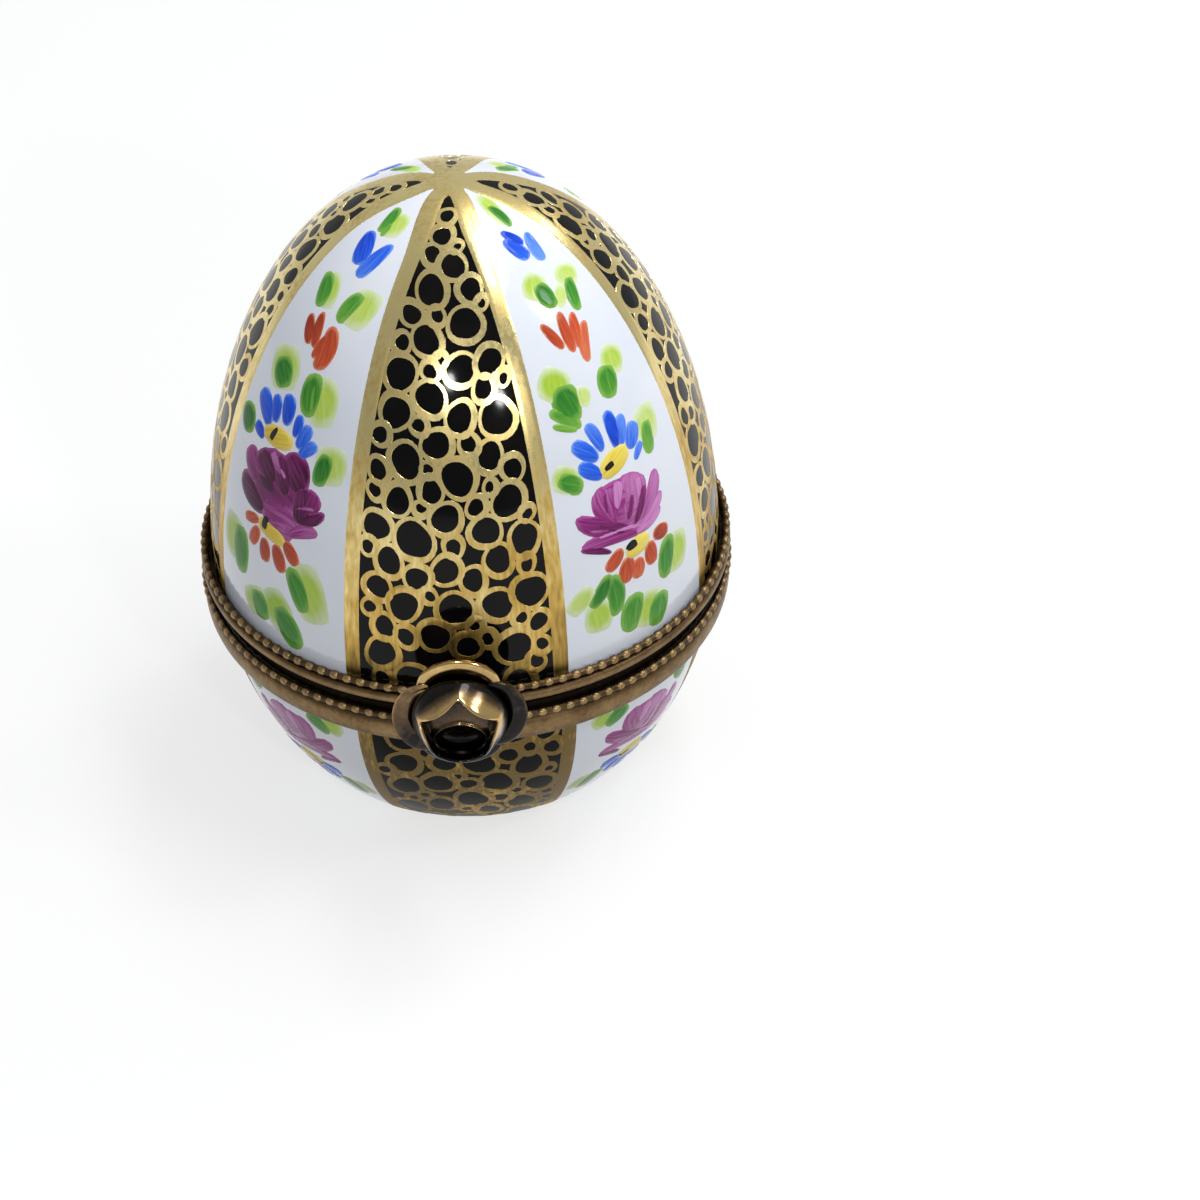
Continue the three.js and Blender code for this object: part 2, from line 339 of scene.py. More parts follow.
def bowl_and_foot():
    wall = bowl_outline(RIM_RADIUS, BOWL_DEPTH, 0, BASE_HEIGHT - FOOT_ROUND, OUTLINE_SAMPLES)
    foot = np.array(rounded_corner(RIM_RADIUS, BOWL_DEPTH, BASE_HEIGHT, FOOT_ROUND)[::-1][1:]).T
    return [np.concatenate(pair) for pair in zip(wall, foot)]


def measure(radius, height):
    step_out, step_up = np.gradient(radius), np.gradient(height)
    arc = np.concatenate([[0], np.cumsum(np.hypot(np.diff(radius), np.diff(height)))])
    length = np.hypot(step_out, step_up)
    side = np.sign(height[-1])
    return {
        "arc": arc,
        "radius": radius,
        "height": height,
        "normal_out": side * step_up / length,
        "normal_up": -side * step_out / length,
    }


MERIDIAN = {
    "lid": measure(*lid_outline(RIM_RADIUS, LID_HEIGHT, 0, OUTLINE_SAMPLES)),
    "base": measure(*bowl_and_foot()),
}
for half, line in MERIDIAN.items():
    print(half, "outline from rim to end, mm:", round(line["arc"][-1] / MM, 2))

# %% Wrap flat artwork
AXIS_CLEAR = 0.2 * MM
TURN = {"lid": math.radians(-1.0), "base": math.radians(0.5)}


def radius_at(half, along):
    line = MERIDIAN[half]
    return np.interp(np.abs(along), line["arc"], line["radius"])


def lay_on_egg(verts, half, angles, along, lift):
    line = MERIDIAN[half]
    reach = np.abs(along)
    keys = ("radius", "height", "normal_out", "normal_up")
    radius, height, out, up = (np.interp(reach, line["arc"], line[key]) for key in keys)
    radius = radius + out * lift
    height = PARTING + height + up * lift
    for vert, r, a, z in zip(verts, radius, angles + TURN[half], height):
        vert.co = (r * math.sin(a), -r * math.cos(a), z)


def wrap(verts, half, panel):
    """Lays flat artwork on one half of the egg, round the given panel's middle."""
    flat = np.array([vert.co for vert in verts])
    radius = np.maximum(radius_at(half, flat[:, 1]), AXIS_CLEAR)
    lay_on_egg(verts, half, panel + flat[:, 0] / radius, flat[:, 1], flat[:, 2])


print("paint turned, degrees:", {half: round(math.degrees(angle), 1) for half, angle in TURN.items()})

# %% [markdown]
# ## Panels
#
# The black panels are centred on the clasp, the hinge and the two sides. Gold stripes edge them, and
# the stripe's outer edge follows a meridian, so the white panels narrow evenly to the top.

# %% Panel angles
PANEL_COUNT = 4
BLACK_HALF = math.radians(24.6)
WHITE_HALF = math.pi / PANEL_COUNT - BLACK_HALF
STRIPE = 1.75 * MM
BASE_WIDENING = 0.1
BLACK_PANELS = [2 * math.pi * i / PANEL_COUNT for i in range(PANEL_COUNT)]
WHITE_PANELS = [angle + math.pi / PANEL_COUNT for angle in BLACK_PANELS]


def black_edge(half, along):
    """Half angle of a black panel; on the bowl the painter let it widen towards the foot."""
    wider = BASE_WIDENING * np.abs(along) / MERIDIAN["base"]["arc"][-1] if half == "base" else 0.0
    return BLACK_HALF * (1 + wider)


print("black and white half angles:", [round(math.degrees(a), 1) for a in (BLACK_HALF, WHITE_HALF)])

# %% [markdown]
# ## Porcelain
#
# Glazed porcelain is a white body under a thin layer of glass. A shader can say this directly: a
# nearly white base, low roughness and a clear coat. The black grounds are a second colour fired on
# the same glaze. They mirror less than the bare glaze does, and the bowl's, which is handled more,
# least of all, so each is a finish of its own. Their edges lie under the gold stripes. The foot stays
# bare, because glaze would stick to the shelf of the kiln.

# %% Porcelain finishes
GLAZE_WHITE = tone(233, 237, 246)
GLAZE_SHADE = tone(226, 231, 242)
GROUND_BLACK = tone(7, 7, 8)
GROUND_BROWN = tone(22, 16, 13)
BISQUE = tone(222, 217, 207)
BISQUE_SHADE = tone(205, 199, 188)
POOL_SCALE = 90
RIPPLE_SCALE = 400
FIRING_SCALE = 260
GRAIN_SCALE = 2500
GRAIN_DEPTH = 0.03 * MM
DULLER = 0.05


def white_glaze():
    finish, tree, shader = start_finish("white_glaze")
    place = coordinates(tree, "Object")
    pooling, ripple = noise(tree, place, POOL_SCALE, 4), noise(tree, place, RIPPLE_SCALE)
    set_inputs(shader, {
        "Base Color": ramp(tree, pooling, [(0.3, GLAZE_SHADE), (0.62, GLAZE_WHITE)]),
        "Roughness": spread(tree, ripple, *NOISE_RANGE, 0.1, 0.16),
        "IOR": 1.5,
        "Coat Weight": 0.45,
        "Coat Roughness": 0.03,
    })
    return finish


def black_ground(name, gloss, dullness):
    finish, tree, shader = start_finish(name)
    uneven = noise(tree, coordinates(tree, "Object"), FIRING_SCALE)
    set_inputs(shader, {
        "Base Color": ramp(tree, uneven, [(0.45, GROUND_BLACK), (0.85, GROUND_BROWN)]),
        "Roughness": spread(tree, uneven, *NOISE_RANGE, dullness, dullness + DULLER),
        "Specular IOR Level": gloss,
    })
    return finish


def bare_foot():
    finish, tree, shader = start_finish("bare_foot")
    grain = noise(tree, coordinates(tree, "Object"), GRAIN_SCALE, 4)
    set_inputs(shader, {
        "Base Color": ramp(tree, grain, [(0.3, BISQUE_SHADE), (0.7, BISQUE)]),
        "Roughness": 0.65,
        "Normal": bump(tree, grain, 0.3, GRAIN_DEPTH),
    })
    return finish


GLAZE = white_glaze()
LID_FINISHES = [GLAZE, black_ground("lid_ground", 0.14, 0.05)]
BOWL_FINISHES = [GLAZE, black_ground("bowl_ground", 0.04, 0.2), bare_foot()]
# where the ground and the bare foot stand in those lists
BLACK, BARE = 1, 2
print("porcelain finishes:", [finish.name for finish in LID_FINISHES + BOWL_FINISHES[1:]])

# %% [markdown]
# ## Shells
#
# Both shells were cast in round moulds, so a spun profile is the honest way to make them: the outside,
# the inside and the foot are each a chain of points turned about the axis, and welding joins them.
# Outside faces near the middle of a black panel then get the black ground.

# %% Lid and bowl
SHELL_SEGMENTS = 160
GROUND_HALF = math.radians(22.5)
OUTSIDE_POINTS = 64
INSIDE_POINTS = 36
FLOOR_ROUND = 3 * MM


def raised(radius, height):
    return [(r, PARTING + z) for r, z in zip(radius, height)]


def lay_grounds(bm, half):
    """Gives the black ground to the faces so far that lie near the middle of a black panel."""
    sector = 2 * math.pi / PANEL_COUNT
    for face in bm.faces:
        middle = face.calc_center_median()
        angle = math.atan2(middle.x, -middle.y) - TURN[half]
        if abs(angle - sector * round(angle / sector)) < GROUND_HALF:
            face.material_index = BLACK


def make_lid():
    bm = bmesh.new()
    outside = raised(*lid_outline(RIM_RADIUS, LID_HEIGHT, LID_EDGE, OUTSIDE_POINTS))
    inside = raised(*lid_outline(RIM_RADIUS - WALL, LID_HEIGHT - WALL, LID_EDGE, INSIDE_POINTS))
    turn(bm, outside, SHELL_SEGMENTS)
    lay_grounds(bm, "lid")
    turn(bm, inside[::-1] + outside[:1], SHELL_SEGMENTS)
    weld(bm)
    finish_piece(bm, "porcelain_lid", "lid", LID_FINISHES, ["lid_shell"])


def make_bowl():
    bm = bmesh.new()
    inner_radius, inner_depth, floor_drop = RIM_RADIUS - WALL, BOWL_DEPTH - WALL, BASE_HEIGHT - WALL
    foot = raised(*zip(*rounded_corner(RIM_RADIUS, BOWL_DEPTH, BASE_HEIGHT, FOOT_ROUND)))
    wall_end, inside_end = BASE_HEIGHT - FOOT_ROUND, floor_drop - FLOOR_ROUND
    wall = raised(*bowl_outline(RIM_RADIUS, BOWL_DEPTH, BASE_EDGE, wall_end, OUTSIDE_POINTS))
    inside = raised(*bowl_outline(inner_radius, inner_depth, BASE_EDGE, inside_end, INSIDE_POINTS))
    floor = raised(*zip(*rounded_corner(inner_radius, inner_depth, floor_drop, FLOOR_ROUND)))
    turn(bm, wall + foot[::-1][1:], SHELL_SEGMENTS)
    lay_grounds(bm, "base")
    turn(bm, foot[:1] + [(0, PARTING - BASE_HEIGHT)], SHELL_SEGMENTS, material=BARE)
    turn(bm, wall[:1] + inside + floor[::-1][1:] + [(0, PARTING - floor_drop)], SHELL_SEGMENTS)
    weld(bm)
    finish_piece(bm, "porcelain_bowl", "base", BOWL_FINISHES, ["base_shell"])


make_lid()
make_bowl()

# %% [markdown]
# ## Gold
#
# Burnished gold is fired on last and stands a hair above the glaze. It is a metal, so its look is its
# reflections: a warm base colour, some roughness from the burnisher, and brush marks along the stripes
# where the layer is thin and shows brown. Lower down the gold is made darker, browner and rougher as
# painted shade, and higher up a little brighter.

# %% Burnished gold
GOLD_BRIGHT = tone(234, 214, 150)
GOLD_DEEP = tone(196, 162, 86)
GOLD_BROWN = tone(108, 88, 46)
BRUSH_SCALE = 2600
BRUSH_STRETCH = (1, 1, 0.12)
BRUSH_SHARE = 0.4
BRUSH_DEPTH = 0.02 * MM
CLOUD_SCALE = 160
# painted shade: the heights where the gold is darkest and where it is brightest, and how far it is moved at
# each
SHADED_BELOW = 14 * MM
LIT_ABOVE = 46 * MM
SHADED_BY = -0.38
LIT_BY = 0.06


def burnished_gold():
    finish, tree, shader = start_finish("burnished_gold")
    place = coordinates(tree, "Object")
    brush = noise(tree, mapped(tree, place, BRUSH_STRETCH), BRUSH_SCALE)
    cloud = noise(tree, place, CLOUD_SCALE)
    marks = calc(tree, "MULTIPLY", brush, BRUSH_SHARE)
    layer = calc(tree, "ADD", marks, calc(tree, "MULTIPLY", cloud, 1 - BRUSH_SHARE))
    height = add(tree, "ShaderNodeSeparateXYZ", {0: place}).outputs["Z"]
    # painted shade: the gold is made darker and browner low on the egg and a little brighter high up
    painted_shade = spread(tree, height, SHADED_BELOW, LIT_ABOVE, SHADED_BY, LIT_BY)
    layer_and_shade = calc(tree, "ADD", layer, painted_shade)
    set_inputs(shader, {
        "Base Color": ramp(tree, layer_and_shade, [(0.12, GOLD_BROWN), (0.36, GOLD_DEEP), (0.58, GOLD_BRIGHT)]),
        "Roughness": spread(tree, layer_and_shade, 0.3, 0.65, 0.5, 0.2),
        "Metallic": 1.0,
        "Normal": bump(tree, brush, 0.1, BRUSH_DEPTH),
    })
    return finish


GOLD = burnished_gold()
print("gold finish:", GOLD.name)

# %% [markdown]
# The stripes are strips of a grid. One edge follows the panel's meridian and the other keeps its
# distance from it, until the two stripes of a panel meet near the top. There the outer edges close
# over the white panels too, which end in points, and all eight stripes join in one gold star.

# %% Gold stripes
STRIPE_LIFT = 0.03 * MM
BURIED = 0.03 * MM
STRIPE_ACROSS = 6
STRIPE_ALONG = 90
STAR_RADIUS = 2.1 * MM
WHITE_TAPER = 8 * MM
STRIPE_TAPER = 5 * MM
STRIPE_TOP = 0.6
HIDDEN_START = 1.3 * MM
FOOT_MARGIN = 0.9 * MM
CLOSED_BELOW = 0.001


def ease(value):
    value = np.clip(value, 0, 1)
    return value * value * (3 - 2 * value)


def stripe_width(radius):
    """The brush was lifted towards the top, so the stripes narrow there."""
    return STRIPE * (STRIPE_TOP + (1 - STRIPE_TOP) * ease((radius - STAR_RADIUS) / STRIPE_TAPER))


def stripe(bm, half, panel, side, end):
    made = bmesh.ops.create_grid(bm, x_segments=STRIPE_ACROSS, y_segments=STRIPE_ALONG, size=1)["verts"]
    flat = np.array([vert.co for vert in made])
    across = (flat[:, 0] * side + 1) / 2
    along = HIDDEN_START + (flat[:, 1] + 1) / 2 * (end - HIDDEN_START)
    radius = np.maximum(radius_at(half, along), TINY)
    run = np.clip((radius - STAR_RADIUS) / WHITE_TAPER, 0, 1)
    white_share = run * (2 - run)
    edge_angle = black_edge(half, along)
    outer = edge_angle + WHITE_HALF * (1 - white_share)
    inner = np.maximum(edge_angle - stripe_width(radius) / radius, 0)
    angle = inner + (outer - inner) * across
    joined = np.where(across > 0.5, white_share < CLOSED_BELOW, inner <= 0)
    edge = np.minimum(across, 1 - across) < TINY
    lift = np.where(edge & ~joined, -BURIED, STRIPE_LIFT)
    lay_on_egg(made, half, panel + side * angle, along if half == "lid" else -along, lift)


def make_stripes(half, end):
    bm = bmesh.new()
    for panel in BLACK_PANELS:
        for side in (-1, 1):
            stripe(bm, half, panel, side, end)
    weld(bm)
    thicken(bm, BURIED)
    finish_piece(bm, f"{half}_gold_stripes", half, [GOLD])


LAST_GOLD = {"lid": MERIDIAN["lid"]["arc"][-1], "base": MERIDIAN["base"]["arc"][-1] - FOOT_MARGIN}
for half, end in LAST_GOLD.items():
    make_stripes(half, end)

# %% [markdown]
# ## Pebbles
#
# The black panels are covered with gold rings of many sizes, drawn until they touch. Throwing circles
# at the panel, large ones first, and keeping those that find room gives the same crowd. Every ring is
# a copy of one spun hoop whose points are then moved, so that no two are alike and none is quite round.

# %% Crowd the circles
PEBBLE_SIZES = [1.76, 1.56, 1.4, 1.24, 1.08, 0.92, 0.76]
PEBBLE_TRIES = [90, 300, 700, 1000, 1000, 700, 450]
SIZE_RANGE = (0.93, 1.07)
ROOM_SHARE = 0.42
ROOM_SPARE = 0.5 * MM
PEBBLE_OVERLAP = 0.16 * MM
STRIPE_OVERLAP = 0.22 * MM
PEBBLE_TALL = 1.14
PEBBLE_GROWTH = 0.4 * MM
GROWTH_SHARE = 0.8
END_ROOM = 1.2
TOP_SHRINK = 0.28
CLASP_CLEAR = 3.9 * MM
CLASP_RISE = 3.3 * MM


def black_half_width(half, along):
    radius = float(radius_at(half, along))
    return radius * float(black_edge(half, along)) - float(stripe_width(radius))


def gaps_to(circles, across, along):
    """How far a place on the panel is from the edge of each circle."""
    return [math.hypot(across - x, (along - y) / PEBBLE_TALL) - r for x, y, r in circles]


def crowd(half, low, high, clear, rng):
    """Circles that fill a black panel, but for a bare place of the given half width at the rim."""
    circles = []
    for size, tries in zip(PEBBLE_SIZES, PEBBLE_TRIES):
        for _ in range(tries):
            along = rng.uniform(low, high)
            room = black_half_width(half, along)
            across = rng.uniform(-1, 1) * room
            shrink = 1 - TOP_SHRINK * max(0, along) / LAST_GOLD["lid"]
            radius = min(size * shrink * rng.uniform(*SIZE_RANGE) * MM, ROOM_SHARE * room + ROOM_SPARE)
            if abs(across) + radius > room + STRIPE_OVERLAP:
                continue
            if abs(along) + END_ROOM * radius * PEBBLE_TALL > LAST_GOLD[half]:
                continue
            if abs(across) < clear and abs(along) - radius < CLASP_RISE + low:
                continue
            if all(gap > radius - PEBBLE_OVERLAP for gap in gaps_to(circles, across, along)):
                circles.append((across, along, radius))
    return [grown(i, circles) for i in range(len(circles))]


def grown(index, circles):
    """The same circle, swollen towards its nearest neighbour."""
    across, along, radius = circles[index]
    nearest = min(gaps_to(circles[:index] + circles[index + 1 :], across, along)) - radius
    return across, along, radius + min(PEBBLE_GROWTH, max(0, nearest) * GROWTH_SHARE)


print("ring radii before the hand varies them, mm:", PEBBLE_SIZES)

# %% Draw the rings
RING_SEGMENTS = 22
BROAD_LINE = 0.68 * MM
FINE_LINE = 0.52 * MM
FINE_FROM = 16 * MM
LINE_LIFT = 0.02 * MM
LINE_SECTION = [(1.5, 0), (1.42, 1), (0.58, 1), (0.5, 0)]
LINE_HAND = 0.3
WOBBLE = [(2, 0.06), (3, 0.035), (5, 0.012)]
RIM_COVER = 2.0 * MM
BASE_COVER = 3.4 * MM
TIP_MARGIN = 3.2 * MM


def hoop(bm):
    spin(bm, chain(bm, LINE_SECTION, closed=True), RING_SEGMENTS)
    return bm.verts[:] + bm.edges[:] + bm.faces[:]


def points_of(geometry):
    return [part for part in geometry if isinstance(part, bmesh.types.BMVert)]


def draw_ring(verts, circle, rng):
    across, along, radius = circle
    *phases, line_phase = [rng.uniform(0, 2 * math.pi) for _ in range(len(WOBBLE) + 1)]
    line = BROAD_LINE + (FINE_LINE - BROAD_LINE) * min(1, max(0, along) / FINE_FROM)
    for vert in verts:
        angle = math.atan2(vert.co.y, vert.co.x)
        waves = [size * math.sin(n * angle + phase) for (n, size), phase in zip(WOBBLE, phases)]
        width = line * (1 + LINE_HAND * math.sin(angle + line_phase))
        reach = radius * (1 + sum(waves)) + (math.hypot(vert.co.x, vert.co.y) - 1) * width
        lift = vert.co.z * (LINE_LIFT + BURIED) - BURIED
        vert.co = (across + reach * math.cos(angle), along + reach * math.sin(angle) * PEBBLE_TALL, lift)


def make_pebbles(half, low, high, seed):
    rng = random.Random(seed)
    bm = bmesh.new()
    pattern = hoop(bm)
    count = 0
    for panel in BLACK_PANELS:
        clear = CLASP_CLEAR if half == "lid" and panel == 0 else 0
        for circle in crowd(half, low, high, clear, rng):
            verts = points_of(bmesh.ops.duplicate(bm, geom=pattern)["geom"])
            draw_ring(verts, circle, rng)
            wrap(verts, half, panel)
            count += 1
    bmesh.ops.delete(bm, geom=points_of(pattern), context="VERTS")
    face_outwards(bm)
    print(half, "rings:", count)
    finish_piece(bm, f"{half}_gold_pebbles", half, [GOLD])


make_pebbles("lid", RIM_COVER, LAST_GOLD["lid"] - TIP_MARGIN, seed=11)
make_pebbles("base", -LAST_GOLD["base"], -BASE_COVER, seed=23)

# %% [markdown]
# ## Flowers
#
# The sprays are painted in quick strokes of enamel: one press of the brush makes a petal or a leaf.
# So the paint is modelled as strokes too. A stroke is a small grid, drawn to a rounded blade, bent,
# laid on the panel and given a slight crown. Its own UV map runs along the brush, and the finish uses
# it for bristle streaks.

# %% Enamel finishes
BRISTLE_STRETCH = (6, 0.8, 1)
BRISTLE_SCALE = 1.6
BRISTLE_SHARE = 0.46
TINT_SHARE = 0.45
TINT_SHIFT = 9.0
FRAY_SCALE = 4
FRAY_SHARE = 0.3
EDGE_AT = 1.16
# a finish's name, its deep, main, pale and edge colours, and how far in the edge colour reaches
ENAMEL_RECIPES = {
    "lime": ("lime_wash", (164, 200, 58), (186, 214, 92), (208, 226, 144), (228, 236, 212), 0.5),
    "green": ("leaf_green", (30, 104, 42), (72, 148, 52), (136, 188, 78), (146, 194, 92), 0.4),
    "blue": ("cornflower_blue", (20, 58, 200), (46, 104, 234), (118, 164, 248), (132, 172, 246), 0.22),
    "red": ("coral_red", (150, 52, 32), (204, 86, 52), (228, 136, 98), (230, 152, 120), 0.24),
    "purple": ("rose_purple", (72, 6, 54), (150, 46, 126), (212, 140, 202), (176, 92, 158), 0.24),
    "yellow": ("yolk_yellow", (214, 172, 46), (238, 214, 86), (246, 232, 140), (242, 222, 132), 0.3),
    "black": ("outline_black", (16, 14, 16), (28, 24, 26), (50, 42, 40), (40, 34, 30), 0.1),
}


def enamel(name, deep, main, pale, edge, fade):
    """A brushed colour from deep to pale, which turns into the edge colour towards its outline."""
    finish, tree, shader = start_finish(name)
    uv = coordinates(tree, "UV")
    tint, reach = attribute(tree, "tint"), attribute(tree, "reach")
    shift = add(tree, "ShaderNodeCombineXYZ", {"X": calc(tree, "MULTIPLY", tint, TINT_SHIFT)}).outputs[0]
    bristle = noise(tree, mapped(tree, uv, BRISTLE_STRETCH, Location=shift), BRISTLE_SCALE, 2)
    streaks = calc(tree, "MULTIPLY", bristle, BRISTLE_SHARE)
    value = calc(tree, "ADD", streaks, calc(tree, "MULTIPLY", tint, TINT_SHARE))
    colour = ramp(tree, value, [(0.23, tone(*deep)), (0.45, tone(*main)), (0.71, tone(*pale))])
    fray = calc(tree, "MULTIPLY", noise(tree, uv, FRAY_SCALE), FRAY_SHARE)
    cover = spread(tree, calc(tree, "ADD", reach, fray), EDGE_AT, EDGE_AT - fade)
    set_inputs(shader, {
        "Base Color": mix(tree, cover, tone(*edge), colour),
        "Roughness": 0.14,
        "Specular IOR Level": 0.16,
    })
    return finish


ENAMEL = {enamel_name: enamel(*recipe) for enamel_name, recipe in ENAMEL_RECIPES.items()}
print("enamels:", sorted(ENAMEL))

# %% Brushes
STROKE_ACROSS = 6
STROKE_ALONG = 10
STROKE_CROWN = 0.025 * MM
LAYER_STEP = 0.0012 * MM
HAND = 0.07
TINT_HAND = 0.06
TIP_PALER = 0.12
BLADE_LEAST = 0.15
STROKE_VALUES = ("tint", "reach")
# how far a brush spreads, how much wider its tip is, how pointed it is, and its height in mm
BRUSHES = {
    "lime": (1.3, 0.0, 0.26, 0.004),
    "green": (1.18, -0.05, 0.36, 0.046),
    "blue": (1.22, 0.15, 0.34, 0.05),
    "red": (1.18, 0.05, 0.38, 0.05),
    "purple": (1.16, 0.15, 0.38, 0.055),
    "yellow": (1.05, 0.0, 0.42, 0.105),
    "black": (1.1, 0.2, 0.42, 0.12),
}
print("enamels from the lowest layer up:", list(BRUSHES))

# %% One press of the brush
class Palette:
    """One bmesh for each enamel, for one half of the egg, with the panel that is being painted."""

    def __init__(self, half, seed):
        self.half = half
        self.rng = random.Random(seed)
        self.sheets = {enamel_name: bmesh.new() for enamel_name in ENAMEL}
        for sheet in self.sheets.values():
            sheet.loops.layers.uv.new("brush")
            for name in STROKE_VALUES:
                sheet.verts.layers.float.new(name)

    def start_panel(self, panel):
        self.panel = panel
        self.coats = {enamel_name: 0 for enamel_name in ENAMEL}

    def press(self, enamel_name, start, end, width, bend, pale):
        """A press from start to end, (across, along) in mm, with its bend and the paleness of its paint."""
        sheet = self.sheets[enamel_name]
        widen, swell, point, layer = BRUSHES[enamel_name]
        made = bmesh.ops.create_grid(
            sheet, x_segments=STROKE_ACROSS, y_segments=STROKE_ALONG, size=1, calc_uvs=True
        )["verts"]
        tint_layer, reach_layer = (sheet.verts.layers.float[name] for name in STROKE_VALUES)
        jitter = [self.rng.uniform(-HAND, HAND) for _ in range(4)]
        tint = pale + self.rng.uniform(-TINT_HAND, TINT_HAND)
        first = Vector((start[0] + jitter[0], start[1] + jitter[1]))
        last = Vector((end[0] + jitter[2], end[1] + jitter[3]))
        run = last - first
        aside = Vector((run.y, -run.x)).normalized()
        floor = layer * MM + self.coats[enamel_name] * LAYER_STEP
        for vert in made:
            across, along = vert.co.x, vert.co.y
            sag = max(0.0, 1 - along * along)
            blade = sag**point
            wide = max(BLADE_LEAST, blade * (1 + swell * along)) * width * widen
            offset = (across * wide + bend * sag * run.length) / 2
            spot = (first + run * (along + 1) / 2 + aside * offset) * MM
            crown = (1 - across * across) * (1 - along**4)
            lift = floor + STROKE_CROWN * crown if crown > TINY else -BURIED
            vert.co = (spot.x, spot.y, lift)
            vert[tint_layer] = tint + TIP_PALER * along
            vert[reach_layer] = math.hypot(across * blade, along)
        wrap(made, self.half, self.panel)
        self.coats[enamel_name] += 1

    def finish(self):
        for enamel_name, sheet in self.sheets.items():
            if not sheet.faces:
                sheet.free()
                continue
            thicken(sheet, BURIED)
            name = f"{self.half}_{enamel_name}_strokes"
            finish_piece(sheet, name, self.half, [ENAMEL[enamel_name]])


def paint(palette, rows, across=0.0, along=0.0, side=1, paler=0.0):
    """Paints a table of presses, moved on the panel, mirrored where side is -1, or paler."""
    for enamel_name, start, end, width, bend, pale in rows:
        first, last = ((x * side + across, y + along) for x, y in (start, end))
        palette.press(enamel_name, first, last, width, bend * side, pale + paler)


print("faces in one stroke, before its thickness:", STROKE_ACROSS * STROKE_ALONG)

# %% [markdown]
# A spray is a table of presses in the order in which the painter made them: the enamel, where the
# brush came down and where it lifted off, the width, the bend and how pale the paint was. Places are
# in millimetres on the panel, across from its middle and up from the parting plane. The two sprays
# alternate round the lid. The roses have tables of their own, purple throughout, because the bowl
# repeats one of them.

# %% Two roses
OPEN_PETALS = [
    ((-0.6, 13.9), (3.5, 14.8), 1.0, 0.16, 0.95),
    ((-0.3, 14.2), (4.0, 16.1), 1.2, 0.18, 0.8),
    ((0.2, 14.8), (3.7, 18.6), 1.7, 0.2, 0.7),
    ((-4.1, 18.7), (1.9, 16.2), 4.5, 0, 0.5),
    ((-2.2, 15.5), (-3.3, 20.0), 2.2, -0.2, 0.4),
    ((-1.2, 15.6), (0.9, 19.8), 3.6, 0.06, 0.62),
    ((-2.5, 15.9), (-2.1, 19.8), 2.2, -0.05, 0.42),
    ((-0.4, 14.6), (1.8, 18.2), 1.1, 0.12, 0.12),
    ((-1.1, 15.4), (0.2, 18.3), 0.9, 0.06, 0.2),
    ((-2.1, 16.9), (-1.1, 19.8), 1.4, 0, 0.9),
    ((-3.1, 16.9), (-2.7, 19.4), 0.5, -0.1, 0.2),
    ((0.6, 16.9), (1.2, 19.2), 0.7, 0.1, 0.85),
    ((0.4, 13.7), (-6.5, 14.8), 1.3, 0.1, 0.4),
    ((-3.3, 13.2), (-6.5, 14.6), 0.7, 0.06, 0.08),
    ((-0.6, 14.7), (-6.4, 17.7), 1.8, -0.12, 0.18),
    ((-1.2, 14.5), (-4.8, 16.9), 0.6, -0.1, 0.02),
    ((-2.5, 15.5), (-5.5, 16.4), 0.4, -0.1, 0.6),
    ((1.0, 14.1), (-4.9, 15.2), 0.4, 0.12, 0.95),
]
# the full rose's dark tints are partly the painter's own shading and partly painted shade
FULL_PETALS = [
    ((-3.0, 21.3), (2.1, 16.6), 6.3, 0, 0.3),
    ((-1.8, 16.6), (3.1, 15.4), 4.1, -0.1, 0.62),
    ((-2.7, 17.8), (-4.8, 20.8), 2.3, -0.1, 0.45),
    ((-1.0, 15.8), (-5.5, 17.7), 2.4, -0.14, 0.12),
    ((-0.2, 17.8), (-2.9, 21.6), 3.4, -0.08, 0.06),
    ((-1.0, 18.9), (-4.4, 20.2), 1.0, -0.1, 0.5),
    ((2.9, 19.0), (0.9, 22.8), 3.0, 0.1, 0.16),
    ((1.4, 18.1), (-0.4, 22.2), 2.2, 0, 0.12),
    ((0.7, 19.9), (-1.4, 21.9), 1.1, 0, 0.85),
    ((0.0, 21.0), (1.1, 20.0), 0.8, 0, 0.95),
    ((3.2, 17.7), (4.8, 20.1), 2.1, 0.1, 0.3),
    ((2.9, 16.2), (3.4, 20.4), 2.2, 0.1, 0.16),
    ((1.9, 14.8), (5.5, 16.3), 1.3, -0.12, 0.66),
    ((2.5, 16.6), (5.9, 18.4), 1.1, 0.2, 0.06),
    ((2.5, 17.7), (4.9, 18.5), 0.5, -0.1, 0.7),
    ((-0.4, 15.2), (2.1, 15.3), 1.1, 0, 0.7),
]
OPEN_ROSE = [("purple", *petal) for petal in OPEN_PETALS]
FULL_ROSE = [("purple", *petal) for petal in FULL_PETALS]
print("petal strokes:", len(OPEN_ROSE), len(FULL_ROSE))

